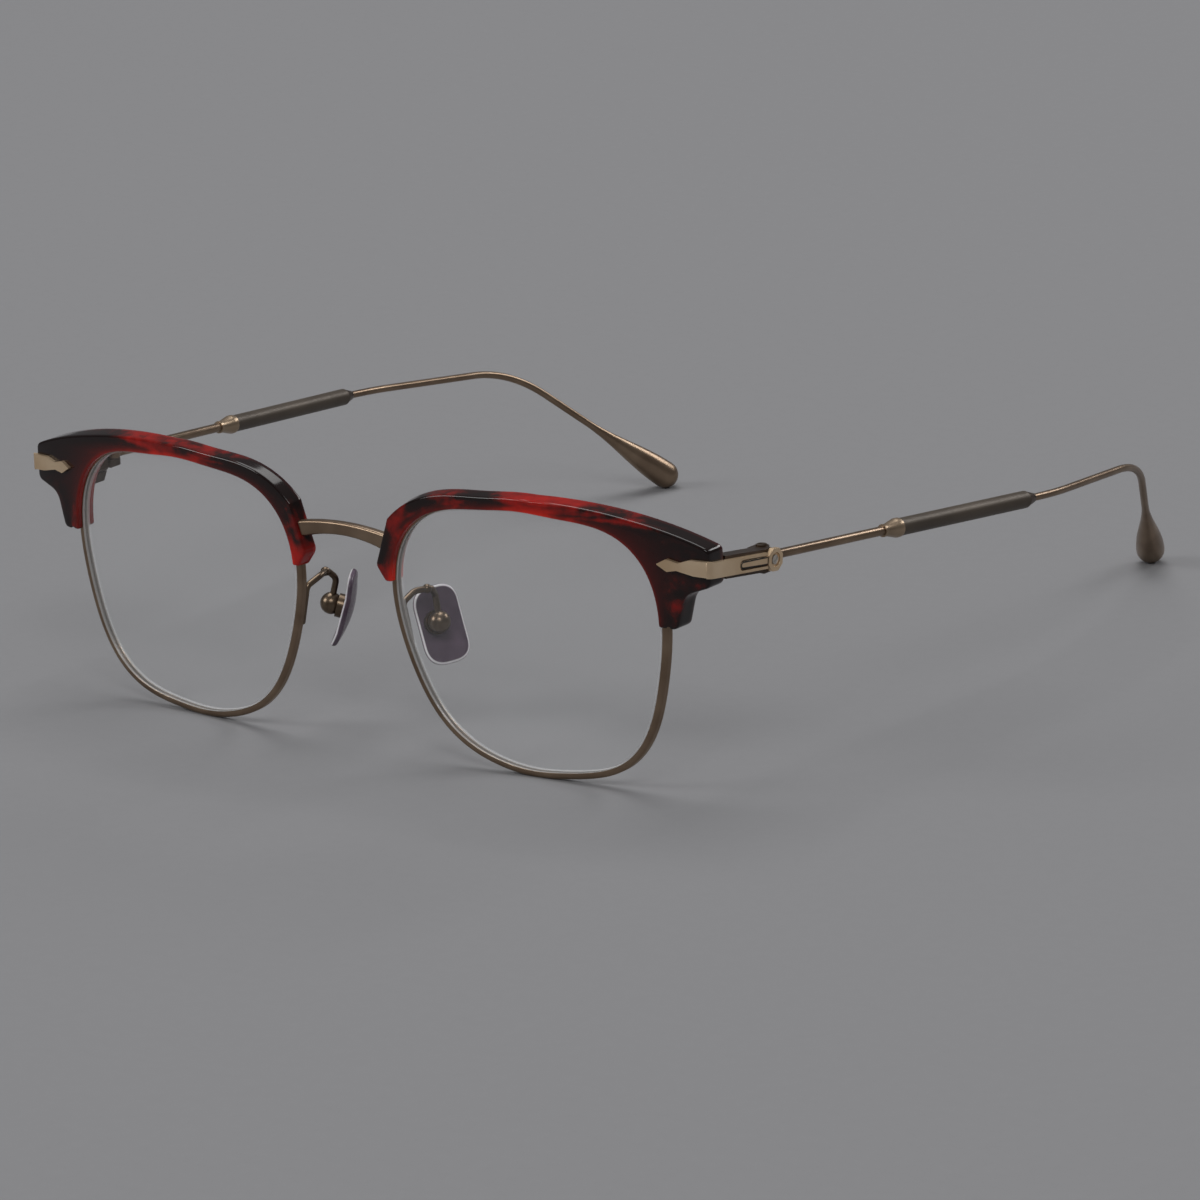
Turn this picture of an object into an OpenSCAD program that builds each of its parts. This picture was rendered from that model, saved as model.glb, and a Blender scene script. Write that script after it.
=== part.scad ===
// Browline glasses, standing open on the lens rims and the temple tips.
// X is the wearer's left to right as seen from the front, Y runs back along the temples, Z is up.
// Every piece of a pair is drawn for the right side (+X) and mirrored for the left.

/* [Front] */
// Width of a lens
lens_width = 51; // [46:0.5:56]
// Height of a lens
lens_height = 45; // [38:0.5:48]
// Gap between the two lenses at the nose
nose_gap = 21.5; // [16:0.5:26]
// Radius of the ball-shaped curve that the whole front follows
bow_radius = 410; // [250:10:900]
// Height of the bow's foremost point above the floor
bow_height = 43; // [25:1:50]

/* [Eye-wires and lenses] */
// Radial thickness of an eye-wire
rim_wall = 1.1; // [0.9:0.05:1.6]
// Depth of an eye-wire from front to back
rim_depth = 1.4; // [1.2:0.05:2.2]
// Depth of the eye-wire's inner groove
rim_groove = 0.5; // [0.3:0.05:0.7]
// Thickness of a lens
lens_thickness = 1.8; // [1.2:0.1:3]
// Thickness of the lens's edge tongue
lens_tongue = 0.7; // [0.4:0.05:0.9]
// Clearance of the lens in its groove
lens_fit = 0.05; // [0.02:0.01:0.1]

/* [Brows] */
// Depth of a brow beside the nose
brow_depth = 3.2; // [3:0.1:4.5]
// Depth of a brow at its lug
lug_depth = 4.5; // [3.5:0.1:6]
// Acetate in front of the eye-wire
brow_front = 1.2; // [1:0.05:2]
// Height of the brow over the top of the eye-wire
brow_band = 1.7; // [1.2:0.1:4]
// Extra width of the brow beside the nose
brow_nose_extra = 1.6; // [0:0.1:2.5]
// How far the brow's edge reaches over the eye-wire
brow_lip = 0.9; // [0.5:0.05:1.2]
// Clearance of the eye-wire in the brow's groove
brow_fit = 0.03; // [0.01:0.01:0.1]
// Height of the lug at the temple end
lug_height = 6.2; // [4.5:0.1:8]
// How far the lug stands out beyond the eye-wire
lug_reach = 8.7; // [7.5:0.1:14]
// How far the brow reaches from the eye-wire towards the nose
nose_reach = 2.5; // [2:0.1:3.5]
// Height of the brow's lower ends above the middle of the lens
tab_above = 5.8; // [3:0.1:9]
// Width of the tab outside the eye-wire
tab_width = 2.5; // [1.5:0.1:4]

/* [Bridge] */
// Height of the bridge bar at its middle
bridge_height = 2.2; // [1.8:0.1:3.5]
// Depth of the bridge bar
bridge_depth = 1.7; // [1.2:0.1:2.5]
// Rise of the bridge's upper edge between the brows
bridge_rise = 0.6; // [0.3:0.1:2]
// Height of the bridge's middle above the middle of the lens
bridge_above = 15.2; // [10:0.1:18]

/* [End-pieces and hinges] */
// Height of the end-piece strap above the middle of the lens
strap_above = 16.6; // [14:0.1:18]
// Height of the strap
strap_height = 2.7; // [2:0.1:3.6]
// Thickness of the strap
strap_thickness = 0.7; // [0.5:0.05:1]
// Length of the spear on the front of the brow
spear_length = 9; // [6:0.5:14]
// Slope of the strap along the side
strap_slope = 7.75; // [0:0.25:10]
// Distance of the hinge behind the front of the strap
hinge_back = 18; // [14:0.2:24]
// Distance of the hinge's axis inside the lug end
hinge_inside = 2; // [1.8:0.1:3]
// Radius of the hinge knuckles
knuckle_radius = 1.3; // [1.1:0.05:1.6]
// Height of the whole hinge barrel
barrel_height = 4; // [3:0.1:5]
// Radius of the hinge screw
pin_radius = 0.55; // [0.4:0.05:0.7]
// Running clearance of the hinge
hinge_fit = 0.05; // [0.03:0.01:0.1]
// Width of the octagonal boss
boss_width = 3.8; // [3:0.1:5]
// Height of the tongue in the fork
tongue_height = 1.4; // [1:0.1:1.8]
// Radius of the slotted cover screw
screw_radius = 1.15; // [0.8:0.05:1.4]

/* [Temples] */
// Outward splay of the temple
temple_splay = 4; // [0:0.5:8]
// Downward slope of the temple
temple_drop = 5.25; // [0:0.25:12]
// Radius of the front rod
rod_radius = 0.8; // [0.6:0.05:1.1]
// Distance from the hinge to the sleeve's collar
collar_start = 31.3; // [20:0.5:45]
// Length of the collar
collar_length = 4.3; // [3:0.1:7]
// Length of the sleeve
sleeve_length = 34.6; // [20:0.5:50]
// Radius of the sleeve
sleeve_radius = 1.5; // [1.2:0.05:2.2]
// Length of the rear ferrule
ferrule_length = 2.3; // [1.5:0.1:5]
// Radius of the rear rod
tail_radius = 0.65; // [0.5:0.05:0.8]
// Length of the rear rod between its two bends
tail_straight = 21; // [10:0.5:35]
// Radius of the drop-shaped tip
tip_radius = 2.55; // [2:0.05:3.5]

/* [Nose pads] */
// Radius of the pad arm's wire
arm_radius = 0.55; // [0.4:0.05:0.7]
// Radius of the ball on the pad arm
ball_radius = 1.9; // [1.5:0.05:2.4]
// Width of a pad
pad_width = 8; // [6:0.25:10]
// Height of a pad
pad_height = 13.4; // [11:0.25:16]
// Thickness of a pad
pad_thickness = 1.6; // [1.2:0.1:2.2]
// Running clearance between ball and socket
ball_fit = 0.06; // [0.03:0.01:0.1]

/* [Hidden] */
$fn = 64;
tiny = 0.01;
lap = 0.05;         // how far a straight bar reaches into a bend
far = 400;          // reach of a cutting block
rim_steps = 96;     // points round an eye-wire

// lens shape: a circle with six waves, cosine and sine shares of the radius
wave = [[0.0118, 0.0399], [0.163, -0.0116], [-0.0035, 0.0488], [-0.0232, -0.0067], [-0.0055, 0.0149],
        [-0.0162, 0]];
function share(a, k) = wave[k - 1][0] * cos(k * a) + wave[k - 1][1] * sin(k * a);
function reach(a) = 1 + share(a, 1) + share(a, 2) + share(a, 3) + share(a, 4) + share(a, 5) + share(a, 6);
rim_angles = [for (i = [0:rim_steps - 1]) 360 * i / rim_steps];
reach_x = [for (a = rim_angles) reach(a) * cos(a)];
reach_z = [for (a = rim_angles) reach(a) * sin(a)];
mid_x = (max(reach_x) + min(reach_x)) / 2;
mid_z = (max(reach_z) + min(reach_z)) / 2;
span_x = (max(reach_x) - min(reach_x)) / 2;
span_z = (max(reach_z) - min(reach_z)) / 2;
rim_x = lens_width / 2 + rim_wall;      // half width of an eye-wire
rim_z = lens_height / 2 + rim_wall;     // half height of an eye-wire
lens_x = nose_gap / 2 + lens_width / 2;
lens_z = rim_z;                         // the eye-wires stand on the floor

function unit(v) = v / norm(v);
// outer edge of the eye-wire at angle a, and the same edge moved inwards
function rim_edge(a) = [lens_x + rim_x * (reach(a) * cos(a) - mid_x) / span_x,
                        lens_z + rim_z * (reach(a) * sin(a) - mid_z) / span_z];
function rim_point(a, inset) = let (t = unit(rim_edge(a + 0.5) - rim_edge(a - 0.5)))
    rim_edge(a) + inset * [-t[1], t[0]];

// the front's curve: surface at depth d behind the front of the eye-wires, whose feet stand at y = 0
bow_front = -(lens_x * lens_x + bow_height * bow_height) / 2 / bow_radius;
function bow_y(x, z, d = 0) = bow_front + bow_radius
    - sqrt(pow(bow_radius - d, 2) - x * x - pow(z - bow_height, 2));

// brow outline
lug_x = lens_x + rim_x + lug_reach;     // half the width of the front
strap_z = lens_z + strap_above;
lug_top = strap_z + lug_height / 2;
lug_low = strap_z - lug_height / 2;
tab_z = lens_z + tab_above;
tab_x = lens_x + rim_x + tab_width;
nose_x = lens_x - rim_x - nose_reach;   // nearest point of a brow to the nose
crown_from = 84;    // over the lens the brow leaves the eye-wire's curve at this angle
crown_to = 150;     // and beside the nose at this one
crown_pull = [19, 5.9];     // from there a curve bent by this much runs to the lug's top

// side places, right side
strap_front = bow_y(lug_x, strap_z, -brow_front - strap_thickness);
strap_out = lug_x + strap_thickness;
hinge_x = lug_x - hinge_inside;
hinge_y = strap_front + hinge_back;
function strap_mid(y) = strap_z - (y - strap_front) * tan(strap_slope);
hinge_z = strap_mid(hinge_y);
back_front = bow_front + brow_depth - brow_front;      // the brows' back is a smaller ball
back_radius = lug_x * lug_x / 2 / (lug_x * lug_x / 2 / bow_radius + lug_depth - brow_depth);
lug_back = back_front + back_radius - sqrt(pow(back_radius, 2) - lug_x * lug_x - pow(strap_z - bow_height, 2));
knuckle = (barrel_height - 2 * hinge_fit) / 3;   // height of one knuckle
barrel_low = hinge_z - barrel_height / 2;
barrel_top = hinge_z + barrel_height / 2;
wall_in = hinge_x + knuckle_radius + 0.25;      // inner face of the wall behind the boss
boss_out = strap_out + 0.15;                    // outer face of the octagonal boss
slot_gap = 0.18;                                // gap round the tongue in the fork
fork_from = hinge_y - 9.6;                      // rounded end of the fork's slot
fork_to = hinge_y - boss_width / 2 - 0.1;

// closing block behind the lug
lock_x = [tab_x - 4.6, tab_x - 0.2];
lock_z = [strap_z - 3.7, strap_z + 0.3];
lock_split = strap_z - 1.8;
lock_back = lug_back + 1.5;
lock_screw_x = lock_x[1] - 1.7;
lock_screw_y = lock_back - 1.35;

// temple path: straight, a gentle bend inwards, straight, a bend down to the ear, straight
hinge = [hinge_x, hinge_y, hinge_z];
function heading(splay, drop) = [sin(splay) * cos(drop), cos(splay) * cos(drop), -sin(drop)];
go_side = heading(temple_splay, temple_drop);
go_ear = heading(-8.4, temple_drop + 0.35);
go_tip = heading(-29.8, temple_drop + 33.2);
ear_bend = 53;      // radius of the gentle bend
tip_bend = 26;      // radius of the bend down
function turn_end(p, a, b, r) = let (w = acos(a * b), m = cross(unit(cross(a, b)), a))
    p + m * r * (1 - cos(w)) + a * r * sin(w);
sleeve_start = collar_start + collar_length;
sleeve_end = sleeve_start + sleeve_length;
ear_from = hinge + go_side * (sleeve_end + ferrule_length);
ear_to = turn_end(ear_from, go_side, go_ear, ear_bend);
tip_from = ear_to + go_ear * tail_straight;
tip_to = turn_end(tip_from, go_ear, go_tip, tip_bend);
tip_length = (tip_to[2] - tip_radius) / -go_tip[2];   // ends on the floor
tip_end = tip_to + go_tip * tip_length;
middle_y = (bow_y(nose_x, bow_height, -brow_front) + tip_end[1] + tip_radius) / 2;
insert = 6;         // how far the rods go into the sleeve
rod_start = knuckle_radius + 0.75;

// nose pad, right side
ball = [lens_x - rim_x + 1.95, 6.2, lens_z - 1.8];
pad_turn = [7, -17.5, -32.3];
pad_shift = [-0.6, 1];      // the pad's middle from the ball, along it and across it
arm_bend = 0.9;
socket_out = ball_radius + ball_fit + 0.34;     // inner face of the pad from the ball's centre
foot_low = [rim_point(186, rim_wall / 2 - 0.15)[0], rim_point(186, rim_wall / 2 - 0.15)[1]];
foot_top = [rim_point(174, rim_wall / 2 - 0.15)[0], rim_point(174, rim_wall / 2 - 0.15)[1]];
foot_y = bow_y(foot_top[0], foot_top[1], rim_depth) + arm_radius - 0.1;
arm = [[foot_low[0], foot_y, foot_low[1]], [foot_top[0], foot_y, foot_top[1]],
       ball + [-1.6, -4.3, 6.2], ball + [-0.4, -1.2, 6.1], ball + [-1, 0.5, 4.4], ball];

/* ---- helpers ---- */

// one corner of an outline, rounded with radius r by steps
function round_corner(p, c, n, r, steps = 6) = r <= 0 ? [c] :
    let (a = unit(p - c), b = unit(n - c), half = acos(a * b) / 2,
         m = c + unit(a + b) * r / sin(half), s = c + a * r / tan(half) - m, e = c + b * r / tan(half) - m,
         from = atan2(s[1], s[0]), turn = (atan2(e[1], e[0]) - from + 540) % 360 - 180)
    [for (i = [0:steps]) m + r * [cos(from + turn * i / steps), sin(from + turn * i / steps)]];
// an outline from points [x, y, corner radius]
function outline(pts) = let (n = len(pts)) [for (i = [0:n - 1])
    each round_corner([pts[(i + n - 1) % n][0], pts[(i + n - 1) % n][1]], [pts[i][0], pts[i][1]],
                      [pts[(i + 1) % n][0], pts[(i + 1) % n][1]], pts[i][2])];
function curve(a, b, c, steps) = [for (i = [1:steps]) let (t = i / steps)
    a * (1 - t) * (1 - t) + b * 2 * t * (1 - t) + c * t * t];

// puts a piece drawn for the right side in its place, or mirrors it to the left
module pair(side) {
    translate([0, -middle_y, 0]) if (side < 0) mirror([1, 0, 0]) children(); else children();
}
// a flat shape in the XZ plane, pushed through along Y
module through(y0 = -far / 10, y1 = far / 10) {
    translate([0, y1, 0]) rotate([90, 0, 0]) linear_extrude(y1 - y0) children();
}
// a flat shape in the YZ plane, pushed through along X
module sideways(x0, x1) {
    translate([x0, 0, 0]) rotate([90, 0, 90]) linear_extrude(x1 - x0) children();
}
// the layer between two depths behind the front of the eye-wires
module layer(d0, d1) {
    difference() {
        translate([0, bow_front + bow_radius, bow_height]) sphere(bow_radius - d0, $fn = 360);
        translate([0, bow_front + bow_radius, bow_height]) sphere(bow_radius - d1, $fn = 360);
    }
}
module rim_shape(inset) { polygon([for (a = rim_angles) rim_point(a, inset)]); }
// a round bar between two points
module bar(p, q, r, r2 = -1) {
    v = q - p;
    translate(p) rotate([0, acos(v[2] / norm(v)), atan2(v[1], v[0])])
        cylinder(h = norm(v), r1 = r, r2 = r2 < 0 ? r : r2, $fn = 32);
}
// a round bar bent from heading a to heading b
module turned_bar(p, a, b, bend, r) {
    n = unit(cross(a, b));
    m = cross(n, a);
    c = p + m * bend;
    multmatrix([[-m[0], a[0], n[0], c[0]], [-m[1], a[1], n[1], c[1]], [-m[2], a[2], n[2], c[2]], [0, 0, 0, 1]])
        rotate_extrude(angle = acos(a * b), $fn = 128) translate([bend, 0]) circle(r, $fn = 32);
}
// a round wire through points, bent at each inner one
module wire(pts, bend, r) {
    n = len(pts);
    dirs = [for (i = [0:n - 2]) unit(pts[i + 1] - pts[i])];
    cut = [for (i = [0:n - 1]) i == 0 || i == n - 1 ? 0 : bend * tan(acos(dirs[i - 1] * dirs[i]) / 2)];
    for (i = [0:n - 2])
        bar(pts[i] + dirs[i] * (cut[i] - lap), pts[i + 1] - dirs[i] * (cut[i + 1] - lap), r);
    for (i = [1:n - 2]) turned_bar(pts[i] - dirs[i - 1] * cut[i], dirs[i - 1], dirs[i], bend, r + tiny);
}
// what stands along the temple, upright on the XY plane, starts at distance d from the hinge
module on_temple(d) {
    translate(hinge + go_side * d) rotate([-90 - temple_drop, 0, -temple_splay]) children();
}
// the place of the octagonal boss, upright on the XY plane and facing outwards
module on_boss(x) {
    translate([x, hinge_y, hinge_z]) rotate([90, 0, 90]) rotate(-strap_slope) children();
}
module on_pad() { translate(ball) rotate(pad_turn) rotate([0, -90, 0]) children(); }

/* ---- front ---- */

module brow(side) {
    over = [for (a = [crown_to:-6:crown_from])
        rim_point(a, -brow_band - brow_nose_extra * pow((a - crown_from) / (crown_to - crown_from), 3.5))];
    end = over[len(over) - 1];
    slope = curve(end, [end[0] + crown_pull[0], lug_top + crown_pull[1]], [lug_x, lug_top], 10);
    color("#5a1a12") pair(side) difference() {
        intersection() {
            through() difference() {
                polygon(outline(concat(
                    [[lens_x - rim_x + brow_lip + 0.3, tab_z + 1.8, 0.2],
                     [lens_x - rim_x - 0.4, tab_z + 1.6, 0.5],
                     [nose_x, tab_z + 4.4, 0.8]],
                    [for (p = over) [p[0], p[1], 0]],
                    [for (i = [0:8]) [slope[i][0], slope[i][1], 0]],
                    [[lug_x, lug_top, 0.8], [lug_x, lug_low, 0.9], [tab_x + 1.5, lug_low - 1.7, 1.6],
                     [tab_x, tab_z, 0.9], [lens_x + rim_x - brow_lip - 0.2, tab_z, 0.4],
                     [lens_x + rim_x - 5, tab_z + 3, 0], [lens_x - rim_x + 6, tab_z + 5, 0]])));
                rim_shape(brow_lip);
            }
            difference() {
                translate([0, bow_front + bow_radius, bow_height]) sphere(bow_radius + brow_front, $fn = 360);
                translate([0, back_front + back_radius, bow_height]) sphere(back_radius, $fn = 360);
            }
        }
        // groove for the eye-wire
        intersection() {
            through() rim_shape(-brow_fit);
            layer(-brow_fit, rim_depth + brow_fit);
        }
        // pocket for the closing block
        translate([lock_x[0] - 2, bow_y(lock_x[0], strap_z), lock_z[0] - 0.1])
            cube([lock_x[1] - lock_x[0] + 2.1, 10, lock_z[1] - lock_z[0] + 0.2]);
        bridge_bar(brow_fit);
    }
}

module eyewire(side) {
    color("#6b5a44") pair(side) difference() {
        intersection() {
            through() difference() {
                rim_shape(0);
                rim_shape(rim_wall);
            }
            layer(0, rim_depth);
        }
        intersection() {
            through() rim_shape(rim_wall - rim_groove);
            layer(rim_depth / 2 - lens_tongue / 2 - lens_fit, rim_depth / 2 + lens_tongue / 2 + lens_fit);
        }
        // the eye-wire is split in the closing block
        translate([lens_x, -10, lock_split]) cube([far, 20, 0.15]);
    }
}

module lens(side) {
    mid = rim_depth / 2;
    color("#dfe8ec", 0.35) pair(side) union() {
        intersection() {
            through() rim_shape(rim_wall + lens_fit);
            layer(mid - lens_thickness / 2, mid + lens_thickness / 2);
        }
        intersection() {
            through() rim_shape(rim_wall - rim_groove + lens_fit);
            layer(mid - lens_tongue / 2, mid + lens_tongue / 2);
        }
    }
}

// the bridge bar between two arcs, grown by g where the brows are cut for it
module bridge_bar(g) {
    half = lens_x - rim_x + 3.2;
    seen = nose_x + 0.7;        // half the free length between the brows
    top = lens_z + bridge_above + bridge_height / 2;
    low = top - bridge_height;
    low_rise = bridge_rise + 0.5;
    top_r = (seen * seen + bridge_rise * bridge_rise) / 2 / bridge_rise;
    low_r = (seen * seen + low_rise * low_rise) / 2 / low_rise;
    y = bow_front - brow_front + 0.65;
    difference() {
        intersection() {
            translate([0, y - g, top - top_r]) rotate([-90, 0, 0])
                cylinder(h = bridge_depth + 2 * g, r = top_r + g, $fn = 200);
            translate([-half, y - g, low - 5]) cube([2 * half, bridge_depth + 2 * g, 12]);
        }
        translate([0, y - 5, low - low_r]) rotate([-90, 0, 0]) cylinder(h = 10, r = low_r - g, $fn = 200);
    }
}

module bridge() {
    color("#7a6850") pair(1) difference() {
        bridge_bar(0);
        through() rim_shape(0);
        mirror([1, 0, 0]) through() rim_shape(0);
    }
}

module endpiece(side) {
    s = strap_height / 2;
    spear = [[-spear_length, 0.3, 0.1], [-spear_length + 1.8, 1.25, 0.35], [-spear_length + 3.9, 0.75, 0.8],
             [-spear_length + 6, s + 0.1, 1], [2, s, 0], [2, -s, 0], [-spear_length + 6.6, -s + 0.2, 1],
             [-spear_length + 3.6, -0.5, 0.8], [-spear_length + 1.9, -0.85, 0.35]];
    color("#cdb391") pair(side) intersection() {
        union() {
            intersection() {
                through() translate([lug_x, strap_z]) polygon(outline(spear));
                layer(-brow_front - strap_thickness, -brow_front);
            }
            difference() {
                sideways(lug_x, strap_out) polygon([
                    [strap_front, strap_z - s], [strap_front, strap_z + s],
                    [fork_to, strap_mid(fork_to) + s], [fork_to, strap_mid(fork_to) - s]]);
                tongue_shape(slot_gap, lug_x - 1, strap_out + 1);
            }
        }
        // rounded corner in plan
        translate([0, 0, strap_z - 20]) linear_extrude(40) polygon(outline([
            [strap_out, strap_front, 1.3], [strap_out, hinge_y, 0], [0, hinge_y, 0],
            [0, strap_front - 20, 0], [strap_out - 7, strap_front - 1.2, 0]]));
    }
}

// the tongue, seen from the side, grown by g where the fork is cut for it
module tongue_shape(g, x0, x1) {
    on_boss(x0) linear_extrude(x1 - x0) union() {
        translate([fork_from - hinge_y + tongue_height / 2, 0]) circle(tongue_height / 2 + g, $fn = 32);
        translate([fork_from - hinge_y + tongue_height / 2, -tongue_height / 2 - g])
            square([hinge_y - fork_from - tongue_height / 2 + g, tongue_height + 2 * g]);
    }
}

module cover_plate(side) {
    color("#cdb391") pair(side) difference() {
        union() {
            tongue_shape(0, lug_x, strap_out);
            on_boss(lug_x) rotate(22.5) cylinder(h = boss_out - lug_x, r = boss_width / 2 / cos(22.5), $fn = 8);
        }
        on_boss(boss_out - 0.35) cylinder(h = 1, r = screw_radius + 0.05);
        on_boss(lug_x - 1) cylinder(h = 3, r = screw_radius / 2 + 0.02);
    }
}

module cover_screw(side) {
    color("#b8b4ac") pair(side) difference() {
        union() {
            on_boss(boss_out - 0.35) cylinder(h = 0.3, r = screw_radius);
            on_boss(wall_in + 0.05) cylinder(h = boss_out - 0.3 - wall_in, r = screw_radius / 2);
        }
        on_boss(boss_out - 0.2) translate([-0.15, -2, 0]) cube([0.3, 4, 1]);
    }
}

module hinge_block(side) {
    h = barrel_height / 2 - 0.05;
    arm_from = lug_back + tiny;
    color("#6b5a44") pair(side) difference() {
        union() {
            // side bar inside the strap
            sideways(hinge_x - 0.4, lug_x) polygon([
                [arm_from, strap_mid(arm_from) - h], [arm_from, strap_mid(arm_from) + h],
                [hinge_y - knuckle_radius - 0.5, strap_mid(hinge_y) + h + 0.15],
                [hinge_y - knuckle_radius - 0.5, strap_mid(hinge_y) - h + 0.15]]);
            // arm behind the lug to the closing block
            translate([lock_x[1], lug_back + 0.15, lock_split + 0.2])
                cube([lug_x - lock_x[1] - 0.5, lock_back - lug_back - 0.15, lock_z[1] - lock_split - 0.3]);
            // wall behind the boss, which holds the cover screw
            on_boss(wall_in) cylinder(h = lug_x - wall_in, r = boss_width / 2 - 0.2);
            translate([wall_in, hinge_y - 3, hinge_z - 1.5]) cube([lug_x - wall_in, 2, 3]);
            for (z = [barrel_low, barrel_top - knuckle]) {
                translate([hinge_x, hinge_y, z]) cylinder(h = knuckle, r = knuckle_radius);
                translate([hinge_x - knuckle_radius, hinge_y - 2.2, z])
                    cube([knuckle_radius + hinge_inside, 2.2, knuckle]);
            }
        }
        // room for the temple's knuckle, bore of the hinge screw, thread of the cover screw
        translate([hinge_x, hinge_y, barrel_low + knuckle])
            cylinder(h = knuckle + 2 * hinge_fit, r = knuckle_radius + 0.2);
        translate([hinge_x, hinge_y, barrel_low - 1]) cylinder(h = barrel_height + 2, r = pin_radius + tiny);
        translate([hinge_x, hinge_y, barrel_top - 0.35]) cylinder(h = 1, r = pin_radius + 0.4);
        on_boss(wall_in - 1) cylinder(h = 4, r = screw_radius / 2 + tiny);
    }
}

module hinge_screw(side) {
    color("#8b7a60") pair(side) translate([hinge_x, hinge_y, 0]) difference() {
        union() {
            translate([0, 0, barrel_low + 0.1]) cylinder(h = barrel_height - 0.2, r = pin_radius);
            translate([0, 0, barrel_top - 0.34]) cylinder(h = 0.6, r = pin_radius + 0.38);
        }
        translate([-2, -0.14, barrel_top + 0.06]) cube([4, 0.28, 1]);
    }
}

module rim_lock(side) {
    color("#6b5a44") pair(side) difference() {
        union() {
            // stem through the brow's pocket to the eye-wire
            translate([lock_x[0], bow_y(lock_x[0], strap_z, 0.1), lock_z[0]])
                cube([lock_x[1] - lock_x[0], lock_back - bow_y(lock_x[0], strap_z, 0.1), lock_z[1] - lock_z[0]]);
        }
        through() rim_shape(0);
        translate([lock_x[0] - 1, -10, lock_split]) cube([10, 30, 0.15]);
        translate([lock_x[1] - 0.1, -10, lock_z[0] - 1]) cube([1, 30, lock_split - lock_z[0] + 1]);
        translate([lock_screw_x, lock_screw_y, lock_z[0] - 1]) cylinder(h = lock_z[1] - lock_z[0] + 0.5, r = 0.5 + tiny);
        translate([lock_screw_x, lock_screw_y, lock_z[0] - 1]) cylinder(h = 1.5, r = 0.85);
    }
}

module lock_screw(side) {
    color("#8b7a60") pair(side) translate([lock_screw_x, lock_screw_y, lock_z[0]]) difference() {
        union() {
            cylinder(h = lock_z[1] - lock_z[0] - 0.6, r = 0.5);
            cylinder(h = 0.5, r = 0.8);
        }
        translate([-2, -0.12, -0.1]) cube([4, 0.24, 0.35]);
    }
}

/* ---- temples ---- */

module temple_rod(side) {
    z = barrel_low + knuckle + hinge_fit;
    color("#6f5d48") pair(side) difference() {
        union() {
            translate([hinge_x, hinge_y, z]) cylinder(h = knuckle, r = knuckle_radius);
            translate([hinge_x, hinge_y, z]) rotate([0, 0, -temple_splay])
                translate([-0.7, 0, 0.02]) cube([1.4, rod_start + 0.9, knuckle - 0.04]);
            on_temple(rod_start) cylinder(h = sleeve_start + insert - rod_start, r = rod_radius);
        }
        translate([hinge_x, hinge_y, z - 1]) cylinder(h = knuckle + 2, r = pin_radius + hinge_fit);
    }
}

module collar(side) {
    color("#cdb391") pair(side) difference() {
        on_temple(collar_start) union() {
            cylinder(h = 0.6, r = rod_radius + 0.3);
            translate([0, 0, 0.6]) cylinder(h = collar_length - 1.3, r1 = rod_radius + 0.2, r2 = sleeve_radius + 0.15);
            translate([0, 0, collar_length - 0.7]) cylinder(h = 0.7, r = sleeve_radius + 0.15);
        }
        on_temple(collar_start - 1) cylinder(h = collar_length + 2, r = rod_radius + tiny);
    }
}

module sleeve(side) {
    color("#3b352f") pair(side) difference() {
        on_temple(sleeve_start) cylinder(h = sleeve_length, r = sleeve_radius);
        on_temple(sleeve_start - 1) cylinder(h = insert + 1.1, r = rod_radius + tiny);
        on_temple(sleeve_end - insert - 0.1) cylinder(h = insert + 1.1, r = tail_radius + tiny);
    }
}

module ferrule(side) {
    color("#2c2621") pair(side) difference() {
        on_temple(sleeve_end) cylinder(h = ferrule_length, r1 = sleeve_radius - 0.12, r2 = tail_radius + 0.12);
        on_temple(sleeve_end - 1) cylinder(h = ferrule_length + 2, r = tail_radius + tiny);
    }
}

module temple_tail(side) {
    // the rod swells into a drop: half a cosine over swell_length, then a quarter of a circle
    swell_length = 20;
    steps = 14;
    swell = [for (i = [0:steps]) let (t = i / steps)
        [tail_radius + (tip_radius - tail_radius) * (1 - cos(180 * t)) / 2, tip_length - swell_length * (1 - t)]];
    end = [for (a = [10:10:90]) [tip_radius * cos(a), tip_length + tip_radius * sin(a)]];
    turn = [0, acos(go_tip[2]), atan2(go_tip[1], go_tip[0])];
    color("#7a6850") pair(side) union() {
        bar(ear_from - go_side * (ferrule_length + insert), ear_from + go_side * lap, tail_radius);
        turned_bar(ear_from, go_side, go_ear, ear_bend, tail_radius + tiny);
        bar(ear_to - go_ear * lap, tip_from + go_ear * lap, tail_radius);
        turned_bar(tip_from, go_ear, go_tip, tip_bend, tail_radius + tiny);
        translate(tip_to) rotate(turn)
            rotate_extrude() polygon(concat([[0, -lap], [tail_radius, -lap]], swell, end));
    }
}

/* ---- nose pads ---- */

module pad_arm(side) {
    color("#7d6b55") pair(side) intersection() {
        union() {
            wire(arm, arm_bend, arm_radius);
            translate(ball) sphere(ball_radius);
        }
        // the foot is flat on the eye-wire's back
        translate([0, bow_front + bow_radius, bow_height]) sphere(bow_radius - rim_depth, $fn = 360);
    }
}

module pad_socket(side) {
    color("#8b7a60") pair(side) difference() {
        on_pad() union() {
            translate([0, 0, ball_radius * 0.55]) cylinder(h = socket_out - ball_radius * 0.55, r = ball_radius + 0.15);
            translate([0, 0, socket_out - 0.4]) cylinder(h = 1.1, r = ball_radius - 0.5);
        }
        translate(ball) sphere(ball_radius + ball_fit);
    }
}

module nose_pad(side) {
    r = pad_width * 0.42;
    color("#8a7a8c", 0.6) pair(side) difference() {
        on_pad() translate([pad_shift[0], pad_shift[1], socket_out]) linear_extrude(pad_thickness) polygon(outline([
            [-pad_height / 2, -pad_width / 2, r], [pad_height / 2, -pad_width / 2, r],
            [pad_height / 2, pad_width / 2, r], [-pad_height / 2, pad_width / 2, r]]));
        on_pad() translate([0, 0, socket_out - 1]) cylinder(h = 1.7, r = ball_radius - 0.5);
    }
}

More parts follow.
